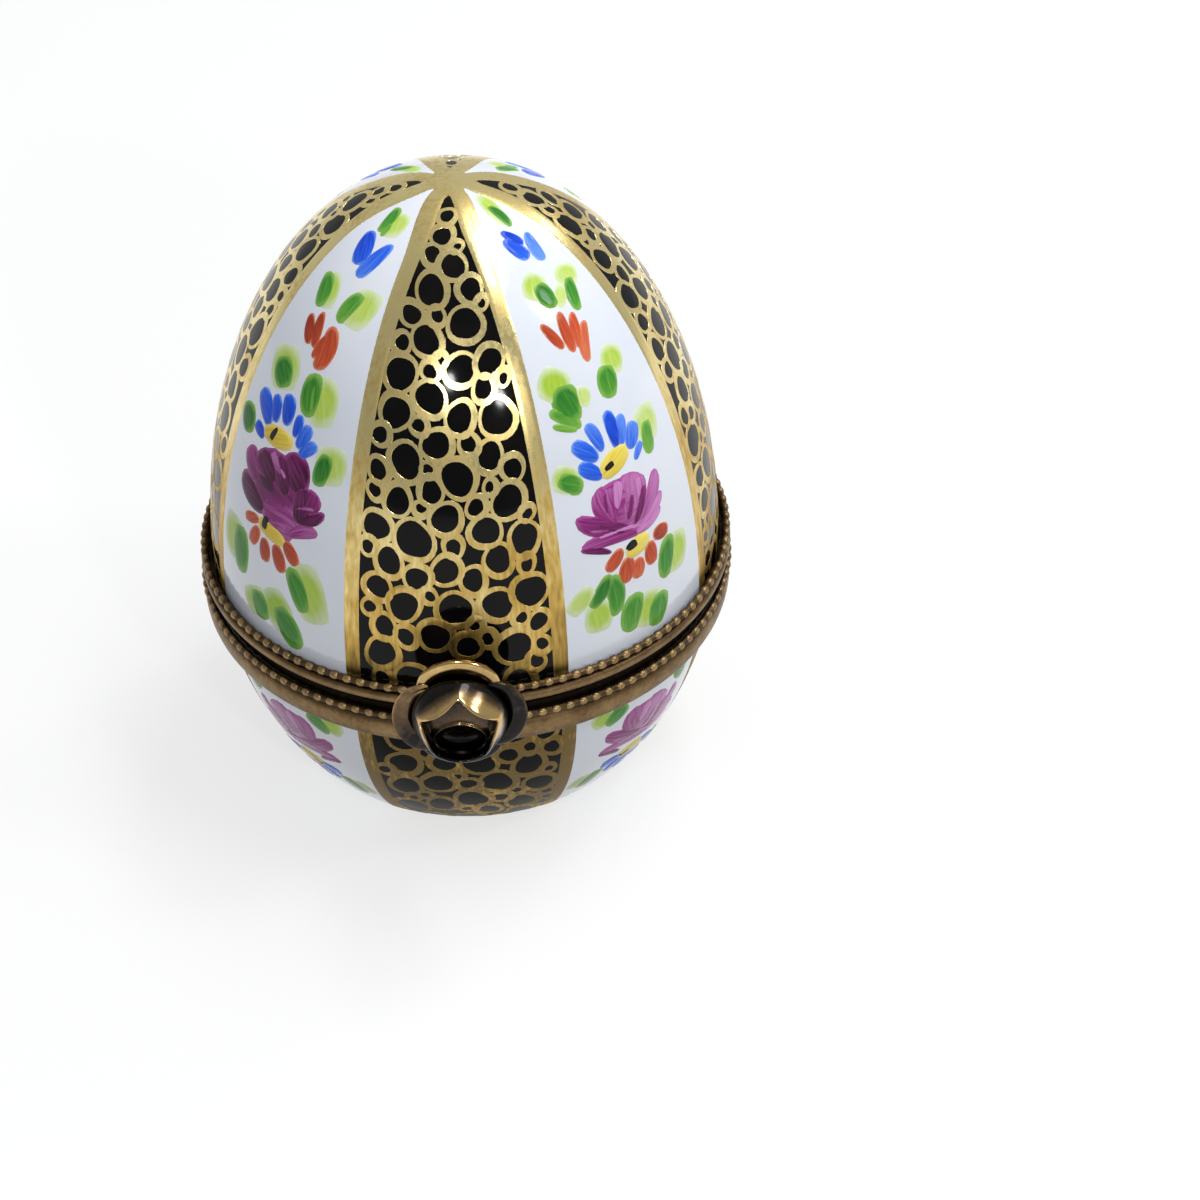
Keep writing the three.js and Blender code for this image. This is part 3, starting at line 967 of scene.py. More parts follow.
# %% The spray to the right of the clasp
RIGHT_SPRAY = [
    # leaf and blue bud at the tip
    ("lime", (0.4, 49.6), (0.0, 45.0), 1.5, 0, 0.5),
    ("green", (0.0, 48.0), (0.4, 44.8), 1.0, -0.1, 0.25),
    ("blue", (-1.0, 45.0), (0.2, 42.9), 1.0, 0, 0.05),
    ("blue", (-1.3, 44.2), (-0.2, 41.5), 1.4, 0, 0.3),
    ("blue", (1.2, 43.9), (0.9, 40.7), 1.2, 0.1, 0.8),
    # two leaves
    ("lime", (-0.4, 40.2), (-2.6, 37.8), 2.2, 0, 0.5),
    ("lime", (1.2, 38.1), (-0.5, 36.3), 1.3, 0, 0.9),
    ("green", (-1.1, 39.3), (-0.7, 36.5), 1.8, 0.12, 0.2),
    ("lime", (2.5, 39.7), (2.0, 37.5), 2.6, 0, 0.8),
    ("green", (2.4, 38.5), (1.4, 35.3), 1.4, 0.12, 0.45),
    # red bud
    ("red", (-2.9, 35.8), (-1.9, 32.9), 1.0, 0, 0.3),
    ("red", (-0.6, 36.2), (-1.0, 32.1), 1.1, 0.06, 0.45),
    ("red", (0.6, 35.6), (-0.2, 32.2), 1.1, 0.06, 0.55),
    ("red", (1.5, 34.5), (-0.1, 30.9), 1.2, 0.16, 0.7),
    # leaves above the daisy
    ("lime", (3.2, 31.3), (1.9, 28.6), 2.7, 0, 0.5),
    ("green", (1.7, 30.0), (0.6, 27.0), 2.3, 0.05, 0.5),
    ("lime", (-3.1, 31.6), (-5.4, 28.7), 2.9, 0, 0.2),
    ("lime", (-1.5, 29.3), (-2.5, 27.4), 1.5, 0, 0.9),
    ("green", (-5.8, 28.2), (-3.1, 25.9), 1.3, -0.08, 0.75),
    ("green", (-5.9, 26.8), (-3.7, 25.8), 0.7, 0, 0.95),
    ("green", (-3.5, 30.2), (-3.8, 26.4), 2.7, 0.1, 0.3),
    # leaves beside the daisy and the rose
    ("lime", (4.2, 24.9), (4.0, 21.0), 3.1, 0.05, 0.85),
    ("green", (4.1, 23.4), (3.5, 20.1), 1.7, 0.06, 0.7),
    ("lime", (-5.6, 23.0), (-6.9, 20.4), 2.6, 0, 0.4),
    ("green", (-7.0, 22.0), (-4.8, 20.3), 1.9, -0.06, 0.45),
    # blue daisy
    ("blue", (-1.9, 22.8), (-2.7, 26.0), 1.2, 0.08, 0.6),
    ("blue", (-2.5, 22.4), (-4.7, 24.8), 1.5, 0, 0.5),
    ("blue", (-2.6, 20.6), (-4.8, 22.6), 1.4, 0, 0.45),
    ("blue", (0.3, 22.5), (1.2, 25.3), 1.2, 0, 0.75),
    ("blue", (1.0, 21.7), (2.5, 24.0), 1.6, 0.06, 0.65),
    ("blue", (1.4, 20.5), (2.8, 21.9), 0.8, 0, 0.7),
    ("blue", (-0.3, 22.5), (-0.3, 26.3), 1.3, 0.05, 0.15),
    ("yellow", (-2.8, 20.8), (1.0, 22.2), 2.3, 0, 0.5),
    ("black", (-2.4, 21.2), (-1.1, 21.6), 0.8, 0, 0.5),
    # red daisy
    ("yellow", (-1.9, 12.2), (1.4, 12.8), 2.0, 0, 0.6),
    ("red", (1.7, 12.5), (4.0, 12.1), 1.5, 0, 0.15),
    ("red", (1.3, 12.2), (1.3, 9.6), 1.6, 0.06, 0.35),
    ("red", (-0.3, 11.3), (-0.8, 9.1), 1.6, 0, 0.6),
    ("red", (-1.5, 12.0), (-2.5, 9.3), 1.8, -0.05, 0.4),
    ("red", (-2.1, 13.2), (-4.2, 11.5), 1.4, -0.08, 0.4),
    ("black", (-1.7, 12.7), (-0.3, 13.1), 0.9, 0, 0.5),
    # leaves at the foot
    ("lime", (5.3, 11.4), (4.6, 6.8), 3.3, 0, 0.5),
    ("green", (4.1, 11.6), (2.8, 7.1), 2.3, 0.06, 0.4),
    ("lime", (-5.2, 9.1), (-5.8, 5.3), 2.9, 0, 0.45),
    ("lime", (-5.7, 10.6), (-8.6, 8.3), 1.8, 0, 0.8),
    ("green", (-3.5, 11.0), (-3.7, 6.3), 2.0, -0.1, 0.5),
    ("green", (-3.8, 11.1), (-6.4, 8.2), 1.5, -0.06, 0.2),
    ("lime", (0.9, 7.3), (-0.2, 3.1), 3.3, 0, 0.35),
    ("green", (-1.0, 7.8), (-2.3, 3.7), 2.6, 0.08, 0.55),
    ("green", (2.4, 6.3), (1.0, 2.6), 2.7, 0.08, 0.6),
]
print("strokes:", len(RIGHT_SPRAY))

# %% The spray to the left of the clasp
LEFT_SPRAY = [
    # leaf and blue bud at the tip
    ("lime", (0.1, 47.3), (0.7, 44.0), 2.2, 0, 0.6),
    ("green", (-0.8, 47.5), (-0.5, 44.3), 1.2, -0.1, 0.45),
    ("green", (-0.1, 45.8), (0.1, 44.0), 0.7, 0, 0.8),
    ("blue", (-1.3, 44.3), (-0.2, 40.7), 1.8, 0, 0.2),
    ("blue", (1.7, 43.9), (0.5, 39.6), 1.4, 0, 0.6),
    # two leaves
    ("lime", (-1.9, 39.4), (-0.8, 35.8), 2.1, 0, 0.5),
    ("green", (-2.6, 39.0), (-1.8, 35.7), 1.8, -0.1, 0.5),
    ("lime", (3.1, 39.5), (2.3, 35.2), 3.0, 0, 0.7),
    ("green", (2.3, 38.7), (1.1, 35.3), 1.6, 0.1, 0.65),
    # red bud
    ("red", (-2.1, 35.1), (-0.9, 32.3), 1.2, 0.06, 0.1),
    ("red", (-0.8, 35.8), (-0.1, 32.3), 1.1, 0.06, 0.15),
    ("red", (0.8, 34.2), (0.1, 31.5), 0.9, 0, 0.3),
    ("red", (1.0, 35.1), (0.9, 30.7), 1.9, -0.16, 0.4),
    # leaves above the daisy
    ("lime", (-3.5, 31.5), (-2.1, 27.2), 4.0, 0, 0.4),
    ("green", (-3.4, 30.3), (-2.0, 27.6), 2.8, 0.06, 0.35),
    ("lime", (2.2, 30.8), (3.4, 25.8), 2.9, -0.08, 0.5),
    ("green", (1.3, 30.6), (1.8, 26.3), 2.3, 0.06, 0.45),
    ("green", (1.4, 30.0), (2.0, 26.8), 0.7, 0, 0.85),
    # leaves beside the daisy and the rose
    ("green", (-6.7, 24.2), (-5.7, 21.3), 2.5, 0, 0.1),
    ("lime", (5.3, 25.1), (5.8, 21.0), 3.1, 0, 0.6),
    ("green", (5.0, 24.1), (4.5, 20.7), 1.8, -0.05, 0.3),
    # blue daisy
    ("blue", (-3.0, 22.3), (-4.8, 23.1), 1.2, 0, 0.2),
    ("blue", (-2.5, 23.7), (-4.9, 26.4), 1.9, 0.05, 0.35),
    ("blue", (-1.8, 24.3), (-2.6, 26.9), 1.3, 0, 0.3),
    ("blue", (-0.4, 24.6), (-0.9, 27.7), 1.6, 0.06, 0.3),
    ("blue", (0.8, 24.1), (1.1, 26.5), 1.0, 0, 0.3),
    ("blue", (1.4, 23.3), (2.5, 25.9), 1.3, 0, 0.5),
    ("blue", (1.9, 22.6), (3.6, 24.5), 1.2, -0.1, 0.55),
    ("yellow", (-3.3, 23.1), (1.1, 23.4), 2.1, 0, 0.3),
    ("black", (-1.2, 24.1), (-1.9, 22.6), 0.8, 0.1, 0.5),
    # red daisy
    ("yellow", (-2.1, 14.5), (2.0, 13.8), 1.9, 0, 0.3),
    ("red", (-1.8, 14.6), (-4.3, 13.7), 1.1, 0, 0.5),
    ("red", (-1.9, 13.8), (-3.0, 11.5), 1.3, 0, 0.5),
    ("red", (-0.9, 13.1), (-0.7, 10.5), 1.5, 0, 0.3),
    ("red", (0.6, 13.3), (1.7, 10.5), 1.6, 0, 0.25),
    ("red", (1.8, 14.1), (3.5, 12.0), 1.5, 0, 0.3),
    ("black", (-0.8, 15.4), (-1.1, 14.0), 1.0, 0, 0.5),
    # leaves at the foot
    ("lime", (-6.0, 13.1), (-6.2, 7.6), 3.8, 0, 0.4),
    ("green", (-4.7, 12.5), (-4.8, 7.0), 2.7, 0, 0.45),
    ("lime", (3.9, 13.0), (6.1, 6.3), 3.7, 0.04, 0.5),
    ("green", (2.6, 11.8), (4.6, 7.1), 2.2, -0.06, 0.5),
    ("lime", (-2.9, 7.0), (-1.3, 4.1), 3.8, 0, 0.2),
    ("lime", (-0.2, 8.2), (2.4, 4.0), 3.7, 0, 0.15),
    ("green", (-1.9, 7.0), (-1.0, 3.8), 2.6, 0, 0.4),
    ("green", (1.0, 6.9), (3.7, 2.7), 2.8, 0, 0.4),
]
print("strokes:", len(LEFT_SPRAY))

# %% Paint the lid
# a spray, its rose, and how much paler than its table the rose is painted; the full rose is painted darker,
# partly as painted shade
LID_PANELS = [(RIGHT_SPRAY, OPEN_ROSE, 0.1), (LEFT_SPRAY, FULL_ROSE, -0.06)]


def paint_lid(seed):
    palette = Palette("lid", seed)
    for i, panel in enumerate(WHITE_PANELS):
        palette.start_panel(panel)
        spray, rose, paler = LID_PANELS[i % len(LID_PANELS)]
        paint(palette, spray)
        paint(palette, rose, paler=paler)
    palette.finish()


paint_lid(seed=5)

# %% Paint the bowl
ROSE_ASIDE = 1.5
ROSE_ALONG = -26.6
ROSE_PALER = 0.25
BOWL_SPRAY = [
    ("lime", (-4.4, -5.2), (-6.9, -6.6), 2.4, 0, 0.5),
    ("green", (-2.7, -5.4), (-5.2, -7.2), 2.1, 0.06, 0.5),
    ("lime", (5.2, -4.8), (7.2, -6.8), 2.6, 0, 0.5),
    ("green", (4.6, -5.0), (6.2, -7.6), 2.0, 0.06, 0.5),
    ("blue", (-1.1, -15.1), (-3.6, -15.4), 1.6, 0.04, 0.4),
    ("blue", (-0.6, -15.8), (-2.2, -17.8), 1.6, 0.04, 0.5),
    ("blue", (0.1, -16.1), (0.0, -18.8), 1.6, 0.04, 0.4),
    ("blue", (0.9, -15.8), (2.4, -17.8), 1.6, 0.04, 0.6),
    ("blue", (1.2, -15.1), (3.6, -15.4), 1.6, 0.04, 0.5),
    ("yellow", (-1.5, -15.1), (1.9, -14.6), 2.3, 0, 0.5),
    ("black", (-1.4, -15.0), (-0.1, -14.7), 0.9, 0.1, 0.5),
    ("lime", (-4.8, -15.6), (-5.6, -18.6), 2.6, 0, 0.5),
    ("green", (-3.4, -15.8), (-4.6, -19.2), 2.2, 0.06, 0.4),
    ("lime", (5.4, -15.2), (6.0, -18.2), 2.4, 0, 0.5),
    ("green", (4.4, -15.4), (5.2, -18.8), 2.1, 0.06, 0.4),
]
print("strokes:", len(BOWL_SPRAY))


def paint_bowl(seed):
    palette = Palette("base", seed)
    for i, panel in enumerate(WHITE_PANELS):
        palette.start_panel(panel)
        side = -1 if i % 2 else 1
        paint(palette, BOWL_SPRAY, side=side)
        paint(palette, OPEN_ROSE, ROSE_ASIDE * side, ROSE_ALONG, side, ROSE_PALER)
    palette.finish()


paint_bowl(seed=8)

# %% [markdown]
# ## Antique brass
#
# The rims are brass that was darkened and then rubbed, so high places shine and recesses stay brown.
# A number on each point, `wear`, says how much the cloth reached it, and noise breaks up the edge. On
# the beads and the rose the same number also carries painted light: lit sides are made lighter, and the
# bud's lower half is painted darker as shade.

# %% Brass and bronze
BLOTCH_SCALE = 420
BLOTCH_SHARE = 0.5
BLOTCH_DEPTH = 0.05 * MM
SPECK_SCALE = 2400
SPECK_SHARE = 0.25
PATINA_ROUGHER = 0.15


def antique(name, patina, brown, rubbed_and_lit, shine, lacquer):
    """A metal from patina to rubbed and lit, with its roughness where it shines and the weight of its
    lacquer.
    """
    finish, tree, shader = start_finish(name)
    place = coordinates(tree, "Object")
    blotch, speck = noise(tree, place, BLOTCH_SCALE, 5, 0.6), noise(tree, place, SPECK_SCALE)
    level = attribute(tree, "wear")
    for pattern, share in ((blotch, BLOTCH_SHARE), (speck, SPECK_SHARE)):
        uneven = calc(tree, "SUBTRACT", pattern, 0.5)
        level = calc(tree, "ADD", level, calc(tree, "MULTIPLY", uneven, share))
    set_inputs(shader, {
        "Base Color": ramp(tree, level, [(0.08, tone(*patina)), (0.45, tone(*brown)), (0.95, tone(*rubbed_and_lit))]),
        "Roughness": spread(tree, level, 0.1, 0.9, shine + PATINA_ROUGHER, shine),
        "Metallic": 1.0,
        "Coat Weight": lacquer,
        "Coat Roughness": 0.08,
        "Normal": bump(tree, blotch, 0.12, BLOTCH_DEPTH),
    })
    return finish


RIM_BRASS = antique("rim_brass", (28, 21, 15), (104, 82, 55), (178, 150, 104), 0.36, 0.0)
ROSE_BRONZE = antique("rose_bronze", (24, 20, 18), (98, 77, 54), (206, 172, 112), 0.13, 0.3)
print("metals:", RIM_BRASS.name, ROSE_BRONZE.name)

# %% [markdown]
# ## Rims
#
# Each rim is a drawn strip bent into a ring: a half-round band, a ledge that the porcelain sits against,
# and a groove where the two rims meet. A profile with its wear written beside each point, spun once, gives
# the band its soft rounding and its dark groove together.

# %% Sizes of the rims
RIM_SEGMENTS = 192
BAND_POINTS = 9
BAND_CROWN = 0.45 * MM
LEDGE = 0.8 * MM
SEAT_GAP = 0.12 * MM
BEAD_SEAT = 0.3 * MM
FOOT_LAP = 0.04 * MM
GROOVE_DEPTH = 0.95 * MM
GROOVE_RISE = 0.425 * MM
LEDGE_IN = RIM_RADIUS - WALL
BAND_IN = RIM_RADIUS + SEAT_GAP
GROOVE_IN = BAND_RADIUS - GROOVE_DEPTH
LID_FACE, LID_BAND_TOP = (corner.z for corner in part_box("lid_bezel"))
BASE_BAND_FOOT, BASE_FACE = (corner.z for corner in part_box("base_bezel"))
FACE_WEAR = 0.7
LEDGE_WEAR = 0.6
SEAT_WEAR = 0.1
BEAD_SEAT_WEAR = 0.05
GROOVE_WEAR = 0.02
BAND_EDGE_WEAR = 0.12
BAND_RUBBED = 0.45
print("rim heights, mm:", [round(h / MM, 2) for h in (LID_BAND_TOP - LID_FACE, BASE_FACE - BASE_BAND_FOOT)])

# %% Turn the rims
def half_round(low, high):
    """Points up a band whose middle stands out by the crown, with the wear of each."""
    shares = np.linspace(0, 1, BAND_POINTS)
    bulge = np.sqrt(np.clip(1 - (2 * shares - 1) ** 2, 0, 1))
    radius = BAND_RADIUS - BAND_CROWN * (1 - bulge)
    return list(zip(radius, low + (high - low) * shares, BAND_EDGE_WEAR + BAND_RUBBED * bulge))


def lid_rim_points():
    ledge_top = LID_FACE + LEDGE
    points = [(LEDGE_IN, LID_FACE, FACE_WEAR), (GROOVE_IN, LID_FACE, GROOVE_WEAR)]
    points += half_round(LID_FACE + GROOVE_RISE, LID_BAND_TOP)
    points += [(BAND_IN, LID_BAND_TOP, SEAT_WEAR), (BAND_IN, ledge_top, SEAT_WEAR)]
    return points + [(LEDGE_IN, ledge_top, LEDGE_WEAR)]


def base_rim_points():
    ledge_foot, bead_floor = BASE_FACE - LEDGE, BAND_IN + BEAD_SEAT
    bead_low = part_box("base_bead_wire")[0].z - SEAT_GAP
    points = [(LEDGE_IN, BASE_FACE, FACE_WEAR), (LEDGE_IN, ledge_foot, LEDGE_WEAR)]
    points += [(BAND_IN, ledge_foot, SEAT_WEAR), (RIM_RADIUS - FOOT_LAP, BASE_BAND_FOOT, SEAT_WEAR)]
    points += half_round(BASE_BAND_FOOT, bead_low)
    points += [(bead_floor, bead_low, BEAD_SEAT_WEAR), (bead_floor, BASE_FACE - GROOVE_RISE, GROOVE_WEAR)]
    return points + [(GROOVE_IN, BASE_FACE, GROOVE_WEAR)]


def make_rim(name, body, node, points):
    bm = bmesh.new()
    layer = bm.verts.layers.float.new("wear")
    profile = chain(bm, [(radius, height) for radius, height, _ in points], closed=True)
    for vert, (_, _, wear) in zip(profile, points):
        vert[layer] = wear
    spin(bm, profile, RIM_SEGMENTS)
    weld(bm)
    finish_piece(bm, name, body, [RIM_BRASS], [node])


make_rim("lid_rim", "lid", "lid_bezel", lid_rim_points())
make_rim("base_rim", "base", "base_bezel", base_rim_points())

# %% [markdown]
# Beaded wire runs along both rims. Real beaded wire is rolled, so the beads are one with the wire. A
# bead needs only a few dozen faces, because there are over a hundred on each ring, and the copies
# stop at the hinge.

# %% Beaded wires
BEAD_RADIUS = 0.42 * MM
BEAD_PITCH = 1.36 * MM
BEAD_FILL = 0.88
BEAD_AROUND = 10
BEAD_RINGS = 6
BEAD_WEAR = 0.35
BEAD_LIGHT_TILT = 0.6
WIRE_RADIUS = 0.31 * MM
WIRE_SECTION = 8
WIRE_STEPS = 120
WIRE_WEAR = 0.3
HINGE_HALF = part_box("hinge_base_leaf")[1].x


def turn_round(bm, verts, angle):
    bmesh.ops.rotate(bm, verts=verts, cent=CENTRE, matrix=Quaternion(AXIS, angle).to_matrix())


def lay_wire(bm, layer, ring, middle, start, sweep):
    section = bmesh.ops.create_circle(bm, segments=WIRE_SECTION, radius=WIRE_RADIUS)["verts"]
    for vert in section:
        vert.co = (ring + vert.co.x, 0, middle + vert.co.y)
        vert[layer] = WIRE_WEAR
    turn_round(bm, section, start)
    spin(bm, section + bm.edges[:], WIRE_STEPS, sweep, merge=False)
    bmesh.ops.holes_fill(bm, edges=[edge for edge in bm.edges if edge.is_boundary], sides=WIRE_SECTION)


def lay_bead(bm, layer, ring, middle, angle):
    shape = {"u_segments": BEAD_AROUND, "v_segments": BEAD_RINGS, "radius": BEAD_RADIUS}
    bead = bmesh.ops.create_uvsphere(bm, **shape)["verts"]
    for vert in bead:
        # partly wear and partly painted highlight: each bead is made lighter on its outer, upper side
        rubbed_and_lit = max(0, (vert.co.x + BEAD_LIGHT_TILT * vert.co.z) / BEAD_RADIUS)
        vert[layer] = BEAD_WEAR * (1 + rubbed_and_lit)
        vert.co.y *= BEAD_FILL * BEAD_PITCH / (2 * BEAD_RADIUS)
    bmesh.ops.translate(bm, verts=bead, vec=(ring, 0, middle))
    turn_round(bm, bead, angle)


def make_beads(name, body, node):
    low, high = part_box(node)
    ring, middle = high.x - BEAD_RADIUS, (low.z + high.z) / 2
    gap = math.asin((HINGE_HALF + BEAD_RADIUS) / ring)
    start, sweep = math.pi / 2 + gap, 2 * math.pi - 2 * gap
    count = round(ring * sweep / BEAD_PITCH)
    bm = bmesh.new()
    layer = bm.verts.layers.float.new("wear")
    lay_wire(bm, layer, ring, middle, start, sweep)
    for i in range(count):
        lay_bead(bm, layer, ring, middle, start + sweep * (i + 0.5) / count)
    face_outwards(bm)
    print(name, "beads:", count)
    finish_piece(bm, name, body, [RIM_BRASS], [node])


make_beads("lid_beads", "lid", "lid_bead_wire")
make_beads("base_beads", "base", "base_bead_wire")

# %% [markdown]
# ## Rose clasp
#
# The rose is cast: cupped petals stand behind a round bud whose folded petals leave a five-pointed
# mouth. A petal is a grid bent into a bowl and given thickness. The bud is a spun profile whose rings
# are then pushed in and out five times round, because its folds run with the angle.

# %% Sizes of the rose
rosette_low, rosette_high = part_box("clasp_rosette")
ROSE_CENTRE = Vector((0, rosette_high.y, (rosette_low.z + rosette_high.z) / 2))
ROSE_REACH = (rosette_high.x - rosette_low.x) / 2
CUP_HEIGHT = rosette_high.y - rosette_low.y
PETAL_COUNT = 4
PETAL_GRID = 16
PETAL_SPREAD = math.radians(54)
LOBE_OFFSET = 1.6 * MM
LOBE_RADIUS = ROSE_REACH - LOBE_OFFSET
PETAL_SHEET = 0.5 * MM
PETAL_RADIUS = [0.26, 0.6, 0.69, 0.71, 0.74, 0.87, 1.0]
PETAL_RISE = [0.26, 0.27, 0.34, 0.62, 0.84, 0.93, 0.86]
PETAL_WEAR = [0.0, 0.0, 0.05, 0.4, 0.8, 0.85, 0.9]
# painted light: how light the top, right, bottom and left petals are made, a share for every side, and more
# towards the top
PETAL_LIGHTING = [0.9, 0.12, 0.0, 0.7]
SIDE_LIGHTING = 0.5
TOP_LIGHTING = 0.6
# the very edge is made lighter, partly rubbed and partly a painted highlight
EDGE_RUB_AND_HIGHLIGHT = 0.25
EDGE_FROM = 0.97
CORNER_FROM = 0.7
CORNER_CUT = 0.1
SET_BACK = 0.16 * MM
PETAL_STEPS = np.linspace(0, 1, len(PETAL_RADIUS))
print("rose across and cup height, mm:", [round(x / MM, 2) for x in (2 * ROSE_REACH, CUP_HEIGHT)])

# %% Cupped petals
def to_clasp(across, up, forward):
    """A place on the clasp, from its axis and its back, in the frame."""
    return (ROSE_CENTRE.x + across, ROSE_CENTRE.y - forward, ROSE_CENTRE.z + up)


def lobe_edge(angle):
    return LOBE_OFFSET * math.cos(angle) + math.sqrt(LOBE_RADIUS**2 - (LOBE_OFFSET * math.sin(angle)) ** 2)


def petal_value(out, values):
    """What a petal's table says at a share of the way from its foot to its edge."""
    return float(np.interp(out, PETAL_STEPS, values))


def cupped_petal(bm, layer, facing, set_back, rubbed_and_lit):
    made = bmesh.ops.create_grid(bm, x_segments=PETAL_GRID, y_segments=PETAL_GRID, size=1)["verts"]
    for vert in made:
        aside, out = vert.co.x * PETAL_SPREAD, (vert.co.y + 1) / 2
        corner = max(0, abs(vert.co.x) - CORNER_FROM) / (1 - CORNER_FROM)
        radius = lobe_edge(aside) * petal_value(out, PETAL_RADIUS) * (1 - CORNER_CUT * corner * out)
        forward = CUP_HEIGHT * petal_value(out, PETAL_RISE) - set_back
        angle = facing + aside
        vert.co = to_clasp(radius * math.sin(angle), radius * math.cos(angle), forward)
        # painted light: petals, and the parts of petals, that face up are made lighter
        petal_lighting = rubbed_and_lit * max(0, SIDE_LIGHTING + TOP_LIGHTING * math.cos(angle))
        vert[layer] = petal_lighting * petal_value(out, PETAL_WEAR) + EDGE_RUB_AND_HIGHLIGHT * (out > EDGE_FROM)


def round_over(piece):
    rounding = piece.modifiers.new("rounding", "SUBSURF")
    rounding.levels = rounding.render_levels = 1


def make_rosette():
    bm = bmesh.new()
    layer = bm.verts.layers.float.new("wear")
    for i in range(PETAL_COUNT):
        set_back = SET_BACK if i % 2 == 0 else 0
        cupped_petal(bm, layer, 2 * math.pi * i / PETAL_COUNT, set_back, PETAL_LIGHTING[i])
    thicken(bm, PETAL_SHEET)
    round_over(finish_piece(bm, "rose_petals", "lid", [ROSE_BRONZE], ["clasp_rosette"]))


make_rosette()

# %% Profile of the bud
bud_low, bud_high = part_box("clasp_bud")
BUD_RADIUS = (bud_high.x - bud_low.x) / 2
BUD_BACK = ROSE_CENTRE.y - bud_high.y
BUD_HEIGHT = bud_high.y - bud_low.y
MOUTH_SIDES = 5
MOUTH_RISE = 0.9 * MM
HEART_DROP = 1.5 * MM
HEART_FLAT = 0.74
# a painted highlight on one side of the bud's shoulder, and the side it faces
SIDE_HIGHLIGHT = 0.45
HIGHLIGHT_SIDE = math.radians(60)
HEART_RADIUS = 0.62
HEART_ABOVE = 0.2
SHOULDER = (0.9, 0.97)
SHOULDER_ABOVE = 0.5
SHADE_FROM = -0.85
SHADE_RUN = 0.9
BUD_SEGMENTS = 80
# radius and height as shares of the bud's, how far the mouth folds in and rises, and the wear
BUD_PROFILE = [
    (0.0, 0.0, 0.0, 0.0, 0.0),
    (0.86, 0.0, 0.0, 0.0, 0.0),
    (0.97, 0.14, 0.0, 0.0, 0.0),
    (1.0, 0.3, 0.0, 0.0, 0.0),
    (0.985, 0.42, 0.1, 0.0, 0.0),
    (0.955, 0.54, 0.3, 0.1, 0.0),
    (0.92, 0.65, 0.65, 0.45, 0.55),
    (0.89, 0.735, 0.9, 0.85, 0.95),
    (0.86, 0.77, 1.0, 1.0, 0.95),
    (0.82, 0.755, 1.0, 0.95, 0.5),
    (0.79, 0.68, 1.0, 0.6, 0.05),
    (0.74, 0.56, 0.9, 0.2, 0.1),
    (0.62, 0.56, 0.3, 0.0, 0.3),
    (0.58, 0.63, 0.2, 0.0, 0.5),
    (0.54, 0.66, 0.1, 0.0, 0.5),
    (0.5, 0.62, 0.0, 0.0, 0.2),
    (0.46, 0.5, 0.0, 0.0, 0.05),
    (0.43, 0.34, 0.0, 0.0, 0.1),
    (0.25, 0.3, 0.0, 0.0, 0.1),
    (0.0, 0.29, 0.0, 0.0, 0.1),
]
print("points in the bud's profile:", len(BUD_PROFILE))

# %% The folded bud
def five_sided(angle):
    """One at the points of the mouth and less between them, as on a five-sided figure."""
    side = 2 * math.pi / MOUTH_SIDES
    return math.cos(side / 2) / math.cos(angle - side * (math.floor(angle / side) + 0.5))


def make_bud():
    bm = bmesh.new()
    for name in ("fold", "rise", "wear"):
        bm.verts.layers.float.new(name)
    fold, rise, wear = bm.verts.layers.float.values()
    profile = chain(bm, [(row[0] * BUD_RADIUS, row[1] * BUD_HEIGHT) for row in BUD_PROFILE])
    for vert, row in zip(profile, BUD_PROFILE):
        vert[fold], vert[rise], vert[wear] = row[2:]
    spin(bm, profile, BUD_SEGMENTS)
    weld(bm)
    deepest = 1 - math.cos(math.pi / MOUTH_SIDES)
    for vert in bm.verts:
        turned = math.atan2(vert.co.x, vert.co.y)
        short = 1 - five_sided(turned)
        grow = 1 - vert[fold] * short
        lift = vert[rise] * MOUTH_RISE * short / deepest
        reach = math.hypot(vert.co.x, vert.co.y) / BUD_RADIUS
        inside = vert.co.z > HEART_ABOVE * BUD_HEIGHT and reach < HEART_RADIUS + TINY
        # painted highlight: the shoulder is made lighter towards the upper right
        if SHOULDER[0] < reach < SHOULDER[1] and vert.co.z > SHOULDER_ABOVE * BUD_HEIGHT:
            vert[wear] += SIDE_HIGHLIGHT * max(0, math.cos(turned - HIGHLIGHT_SIDE)) ** 2
        # painted shade: the lower half of the bud is made darker
        vert[wear] *= float(ease((math.cos(turned) - SHADE_FROM) / SHADE_RUN))
        up = vert.co.y * grow * (HEART_FLAT if inside else 1) - HEART_DROP * inside
        vert.co = to_clasp(vert.co.x * grow, up, BUD_BACK + vert.co.z + lift)
    face_outwards(bm)
    round_over(finish_piece(bm, "rose_bud", "lid", [ROSE_BRONZE], ["clasp_bud"]))


make_bud()

# %% [markdown]
# ## Hinge, hasp and catch
#
# These plates and tubes already have the right shape in the frame, but with knife-sharp edges. A
# welded copy with its edges rounded catches the light as filed metal does, so each node gets one.

# %% Round the edges of the fittings
MESH_WELD = 0.001 * MM
EDGE_ROUND = 0.12 * MM
EDGE_SEGMENTS = 2
KNUCKLES = 5
FLAT_WITHIN = math.radians(1)
EDGE_ABOVE = math.radians(40)
FLAT_WEAR = 0.42
EDGE_WEAR = 0.85
STEEL_DARK = tone(130, 122, 108)
STEEL_BRIGHT = tone(196, 190, 178)
SCRATCH_SCALE = 5000
SCRATCH_STRETCH = (0.1, 1, 1)
FITTINGS = ["hinge_base_leaf", "hinge_lid_leaf", "clasp_hasp", "clasp_catch", "hinge_pin"]
FITTINGS += [f"hinge_knuckle_{i}" for i in range(1, KNUCKLES + 1)]


